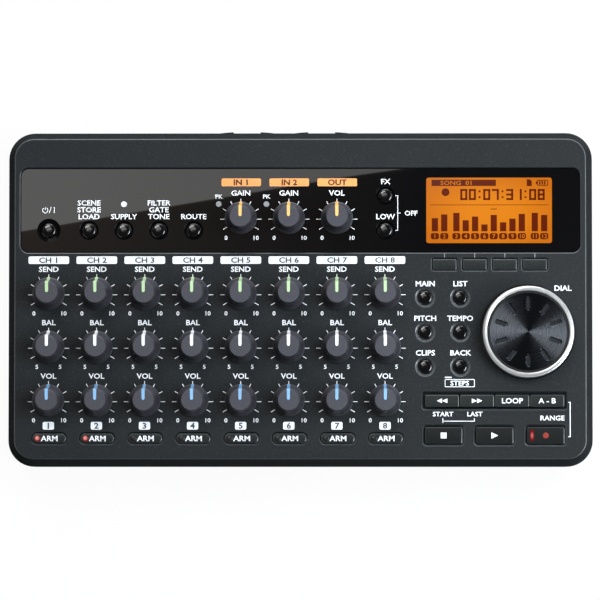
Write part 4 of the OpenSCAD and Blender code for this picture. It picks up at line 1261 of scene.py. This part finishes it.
SOCKET_Z, SOCKET_WORD_UP, SIDE_CAPITAL = 14.8, 8.6, 1.8
PHONE_X, XLR_X, PIN_RING_R, PIN_TURNS = (-72.0, -50.0), (-20.3, 8.1), 3.7, (90, 210, 330)
MINI_BORES = ((56.0, 1.36), (70.0, 1.86), (84.0, 1.86))  # x and radius
SOCKET_WORDS = ((-72, "LINE 2"), (-50, "LINE 1"), (56, "PEDAL"), (70, "OUT"), (84, "EARS"))
XLR_FIGURES = ((-34.5, "1"), (22.3, "2"))


class RECORDER_OT_sockets(Operator):
    """Finish the sockets and add their metal and print"""
    bl_idname = "recorder.sockets"
    bl_label = "Sockets"

    def execute(self, context):
        dress(moulded("Socket plastic", srgb(24, 24, 26), cell=0.0006, rough=0.42),
              "xlr_sockets", "phone_jacks", "mini_jacks")
        nickel = moulded("Nickel", srgb(190, 188, 182), cell=0.0008, spread=0.05, rough=0.22, metal=1.0)
        gold = moulded("Gold plate", srgb(222, 178, 92), cell=0.0008, spread=0.05, rough=0.25, metal=1.0)

        def metal_piece(name, made, steps, places):
            """Joins turned shapes. Profiles are radii and distances out of the rear wall."""
            shapes = [lathed([(radius, CASE_HIGH.y + out) for radius, out in profile], x, z, steps)
                      for x, z, profile in places]
            new_piece(name, *gather(shapes), made, "case", "metal", smooth=40)

        nut = ((3.3, -0.28), (4.55, -0.28), (4.55, 0.05), (4.2, 0.3), (3.6, 0.3), (3.3, 0.0))
        metal_piece("phone_jack_bushings", nickel, 40, [(x, SOCKET_Z, nut) for x in PHONE_X])
        metal_piece("mini_jack_bushings", nickel, 32, [
            (x, SOCKET_Z, ((bore, -0.28), (2.7, -0.28), (2.7, -0.1), (2.45, 0.05), (bore + 0.3, 0.05),
                           (bore, -0.1))) for x, bore in MINI_BORES])
        pin = ((0.8, -12), (1.2, -12), (1.2, -1.25), (1.1, -1.1), (0.9, -1.1), (0.8, -1.25))
        turns = [math.radians(turn) for turn in PIN_TURNS]
        metal_piece("xlr_contacts", gold, 20, [
            (x + PIN_RING_R * math.cos(a), SOCKET_Z - PIN_RING_R * math.sin(a), pin)
            for x in XLR_X for a in turns])
        self.prints(context)
        return DONE

    def prints(self, context):
        """Words beside the sockets on the rear and the sides."""
        film, white = film_of(context), white_ink(context)
        low, high = box_of("phone_jacks")
        z = (low.z + high.z) / 2 + 0.05
        rear, left, right = (Sheet(CASE_HIGH.y, film, FACING_REAR), Sheet(-CASE_LOW.x, film, FACING_LEFT),
                             Sheet(CASE_HIGH.x, film, FACING_RIGHT))
        for x, word in SOCKET_WORDS:
            rear.words(word, -x, z + SOCKET_WORD_UP, SIDE_CAPITAL, THIN, PLAIN)
        for x, figure in XLR_FIGURES:
            rear.words(figure, -x, z, 3.0, THIN, PLAIN)
        for sheet, word, x, y in (
                (left, "DC", -22.0, 9.6), (left, "PC", -4.0, 14.6), (right, "CARD", 9.0, 12.6)):
            sheet.words(word, x, y, SIDE_CAPITAL, THIN, PLAIN)
        for sheet, name in ((rear, "rear_print"), (left, "left_print"), (right, "right_print")):
            sheet.piece(name, white, "case_plastic")


class RECORDER_OT_underside(Operator):
    """Mark the battery door and the places of the cells"""
    bl_idname = "recorder.underside"
    bl_label = "Underside"

    def execute(self, context):
        low, high = box_of("battery_door")
        relief, half, deep, from_edge = 0.2, 2.4, 1.7, 19.5
        y = low.y + from_edge
        arrow = Sheet(-low.z, relief, FACING_DOWN)
        arrow.prism([(0, y - deep), (half, y + deep), (-half, y + deep)])
        arrow.piece("battery_door_arrow", bpy.data.materials["Body grain"], "case_plastic", "battery_door")
        contacts_low, contacts_high = box_of("battery_contacts")
        seat_gap, cell_room = 0.1, 6.6
        roof = (contacts_low.z + contacts_high.z) / 2 + cell_room + seat_gap
        marks = Sheet(-roof, film_of(context), FACING_DOWN)
        middle, pitch, line, arm, to_sign = (low.y + high.y) / 2, 14.5, 0.35, 1.6, 18.5
        for k in range(4):
            x, plus, minus = pitch * (k - 1.5), middle + to_sign, middle - to_sign
            marks.frame(x, middle, 12.6, 46.0, 1.2, line)
            for y in (plus, minus):
                marks.bar(x - arm, y - line, x + arm, y + line)
            marks.bar(x - line, plus + line, x + line, plus + arm)
            marks.bar(x - line, plus - arm, x + line, plus - line)
        marks.piece("battery_bay_marks", grey_ink(), "case_plastic")
        return DONE


COOL = (0.97, 0.985, 1)
# Name and setting of each lamp, its place and size in metres, its tint, and the rays that don't meet it
LAMPS = (
    ("left_bank", (-0.43, 0.8, 1.43), (0.85, 0.65), (1, 0.985, 0.96), None),
    ("right_strip", (0.62, -0.26, 0.42), (0.42, 0.26), (0.88, 0.94, 1), None),
    ("rear_strip", (-0.05, 1.34, 0.68), (1.5, 0.35), COOL, "visible_glossy"),
    ("glint_strip", (-0.05, 1.5, 0.32), (1.6, 0.3), COOL, "visible_diffuse"),
    ("side_strip", (1.5, -0.1, 0.52), (1.2, 0.3), COOL, "visible_diffuse"),
    ("overhead_lamp", (0.27, 0.08, 0.42), (0.25, 0.25), (0.85, 0.92, 1), "visible_glossy"))
# Name and setting of each card, its tint, the share of light at its right end, and its height and outline
CARDS = (
    ("card", (1, 0.98, 0.96), 0.75, 2.2,
     ((-0.48, 0.126), (0.02, 0.21), (0.17, 0.231), (0.17, 0.564), (-0.48, 0.564))),
    ("dim_card", (1, 0.8, 0.66), 0.0, 2.21, ((-0.48, 0.0), (0.2, 0.0), (0.2, 0.564), (-0.48, 0.564))))
LAMP_TARGET = Vector((0, 0, 0.03))
CAMERA_TARGET_Z, CAMERA_SHIFT = 0.028, (-0.0005, -0.0008)
FLOOR_REACH, FLOOR_Z, FLOOR_WHITE = 8.0, -0.00005, 0.94


class RECORDER_OT_stage(Operator):
    """Set up the floor, the lamps, the world and the camera"""
    bl_idname = "recorder.stage"
    bl_label = "Stage"

    def execute(self, context):
        scene, setting = context.scene, context.scene.recorder_stage
        scene.view_settings.view_transform = "Standard"
        self.floor(scene, setting)
        self.world(scene)
        for name, *row in LAMPS:
            self.lamp(scene, name, getattr(setting, name), *row)
        for name, *row in CARDS:
            self.card(scene, name, getattr(setting, name), *row)
        self.camera(scene, setting)
        return DONE

    def backdrop(self, scene, name, outline, height, made):
        """A flat sheet of the studio, which isn't part of the object."""
        mesh = bpy.data.meshes.new(name)
        mesh.from_pydata([(x, y, height) for x, y in outline], [], [list(range(len(outline)))])
        mesh.materials.append(made)
        sheet = bpy.data.objects.new(name, mesh)
        scene.collection.objects.link(sheet)
        return sheet

    def mirrored_rays(self, tree):
        """Light Path's outputs, and a mask of the rays that a surface mirrors or lets through."""
        path = tree.nodes.new("ShaderNodeLightPath").outputs
        return path, value_node(tree, "MAXIMUM", path["Is Glossy Ray"], path["Is Transmission Ray"])

    def floor(self, scene, setting):
        made, tree, shader = blank_material("Pale floor")
        fill(tree, shader, {"Base Color": setting.floor, "Roughness": 0.9, "Specular IOR Level": 0.0})
        path, mirrored = self.mirrored_rays(tree)
        seen = value_node(tree, "MAXIMUM", path["Is Camera Ray"], mirrored)
        glow = add_node(tree, "Emission", {"Strength": 1.0})
        blend = add_node(tree, "MixShader", {
            0: value_node(tree, "MULTIPLY", seen, FLOOR_WHITE), 1: shader.outputs[0], 2: glow.outputs[0]})
        plug(tree, tree.nodes["Material Output"].inputs["Surface"], blend.outputs[0])
        corners = [(x * FLOOR_REACH, y * FLOOR_REACH) for x, y in ((-1, -1), (1, -1), (1, 1), (-1, 1))]
        self.backdrop(scene, "floor", corners, FLOOR_Z, made)

    def world(self, scene):
        """A dim studio, whose white backdrop the camera sees, and glossy surfaces low at the horizon."""
        world = bpy.data.worlds.new("studio")
        world.use_nodes = True
        scene.world = world
        tree = world.node_tree
        way = split(tree, add_node(tree, "TexCoord", {}).outputs["Generated"])
        rise = range_node(tree, way["Z"], 0.15, 0.85, 0.0, 1.0)
        rear = range_node(tree, way["Y"], -0.5, 0.4, 0.12, 1.0)
        horizon = mix_colour(tree, rear, (0.03, 0.03, 0.03), (0.3, 0.3, 0.3))
        shade = mix_colour(tree, rise, horizon, (0.035, 0.035, 0.037))
        path, mirrored = self.mirrored_rays(tree)
        low = range_node(tree, way["Z"], 0.02, 0.06, 1.0, 0.0)
        seen = value_node(tree, "MAXIMUM", path["Is Camera Ray"], value_node(tree, "MULTIPLY", mirrored, low))
        plug(tree, tree.nodes["Background"].inputs["Color"], mix_colour(tree, seen, shade, (1, 1, 1)))

    def lamp(self, scene, name, watts, place, size, tint, left_out):
        data = bpy.data.lights.new(name, "AREA")
        data.shape = "RECTANGLE"
        data.size, data.size_y = size
        data.energy, data.color = watts, tint
        lamp = bpy.data.objects.new(name, data)
        lamp.location = place
        lamp.rotation_mode = "QUATERNION"
        lamp.rotation_quaternion = (LAMP_TARGET - Vector(place)).to_track_quat("-Z", "Y")
        lamp.visible_camera = False
        if left_out:
            setattr(lamp, left_out, False)
        scene.collection.objects.link(lamp)

    def card(self, scene, name, strength, tint, right_share, height, outline):
        """A card high over the rear, paler at its left, that shows as a pale field on the window."""
        made, tree, shader = blank_material(name)
        across = split(tree, object_point(tree))["X"]
        share = range_node(tree, across, -0.27, 0.09, 1.0, right_share)
        fill(tree, shader, {
            "Base Color": (0, 0, 0), "Emission Color": mix_colour(tree, share, (0, 0, 0), tint),
            "Emission Strength": strength})
        self.backdrop(scene, name, outline[::-1], height, made).visible_camera = False

    def camera(self, scene, setting):
        lens = bpy.data.cameras.new("camera")
        lens.lens, lens.sensor_width = setting.lens, 36
        lens.shift_x, lens.shift_y = CAMERA_SHIFT
        lens.clip_start, lens.clip_end = 0.05, 20
        camera = bpy.data.objects.new("camera", lens)
        scene.collection.objects.link(camera)
        camera.location = (setting.aside, -setting.ahead, CAMERA_TARGET_Z + setting.distance)
        camera.rotation_euler = (
            math.atan(setting.ahead / setting.distance), math.atan(setting.aside / setting.distance), 0)
        scene.camera = camera


STEPS = (
    RECORDER_OT_stage, RECORDER_OT_case, RECORDER_OT_window, RECORDER_OT_display, RECORDER_OT_knobs,
    RECORDER_OT_scales, RECORDER_OT_wheel, RECORDER_OT_buttons, RECORDER_OT_keys, RECORDER_OT_panel_print,
    RECORDER_OT_window_print, RECORDER_OT_sockets, RECORDER_OT_underside)


class RECORDER_PT_panel(Panel):
    """Lists the recorder's pieces and their settings"""
    bl_idname = "RECORDER_PT_panel"
    bl_label = "Recorder"
    bl_space_type = "VIEW_3D"
    bl_region_type = "UI"
    bl_category = "Recorder"

    def draw(self, context):
        column = self.layout.column(align=True)
        for step in STEPS:
            column.operator(step.bl_idname)
        for name, group in SETTINGS.items():
            box = self.layout.box()
            box.label(text=group.__doc__)
            for field in group.__annotations__:
                box.prop(getattr(context.scene, name), field)


CLASSES = tuple(SETTINGS.values()) + STEPS + (RECORDER_PT_panel,)


def register():
    for item in CLASSES:
        bpy.utils.register_class(item)
    for name, group in SETTINGS.items():
        setattr(bpy.types.Scene, name, PointerProperty(type=group))


def unregister():
    for name in SETTINGS:
        delattr(bpy.types.Scene, name)
    for item in reversed(CLASSES):
        bpy.utils.unregister_class(item)


def main():
    register()
    for step in STEPS:
        module, name = step.bl_idname.split(".")
        getattr(getattr(bpy.ops, module), name)()


if __name__ == "__main__":
    main()
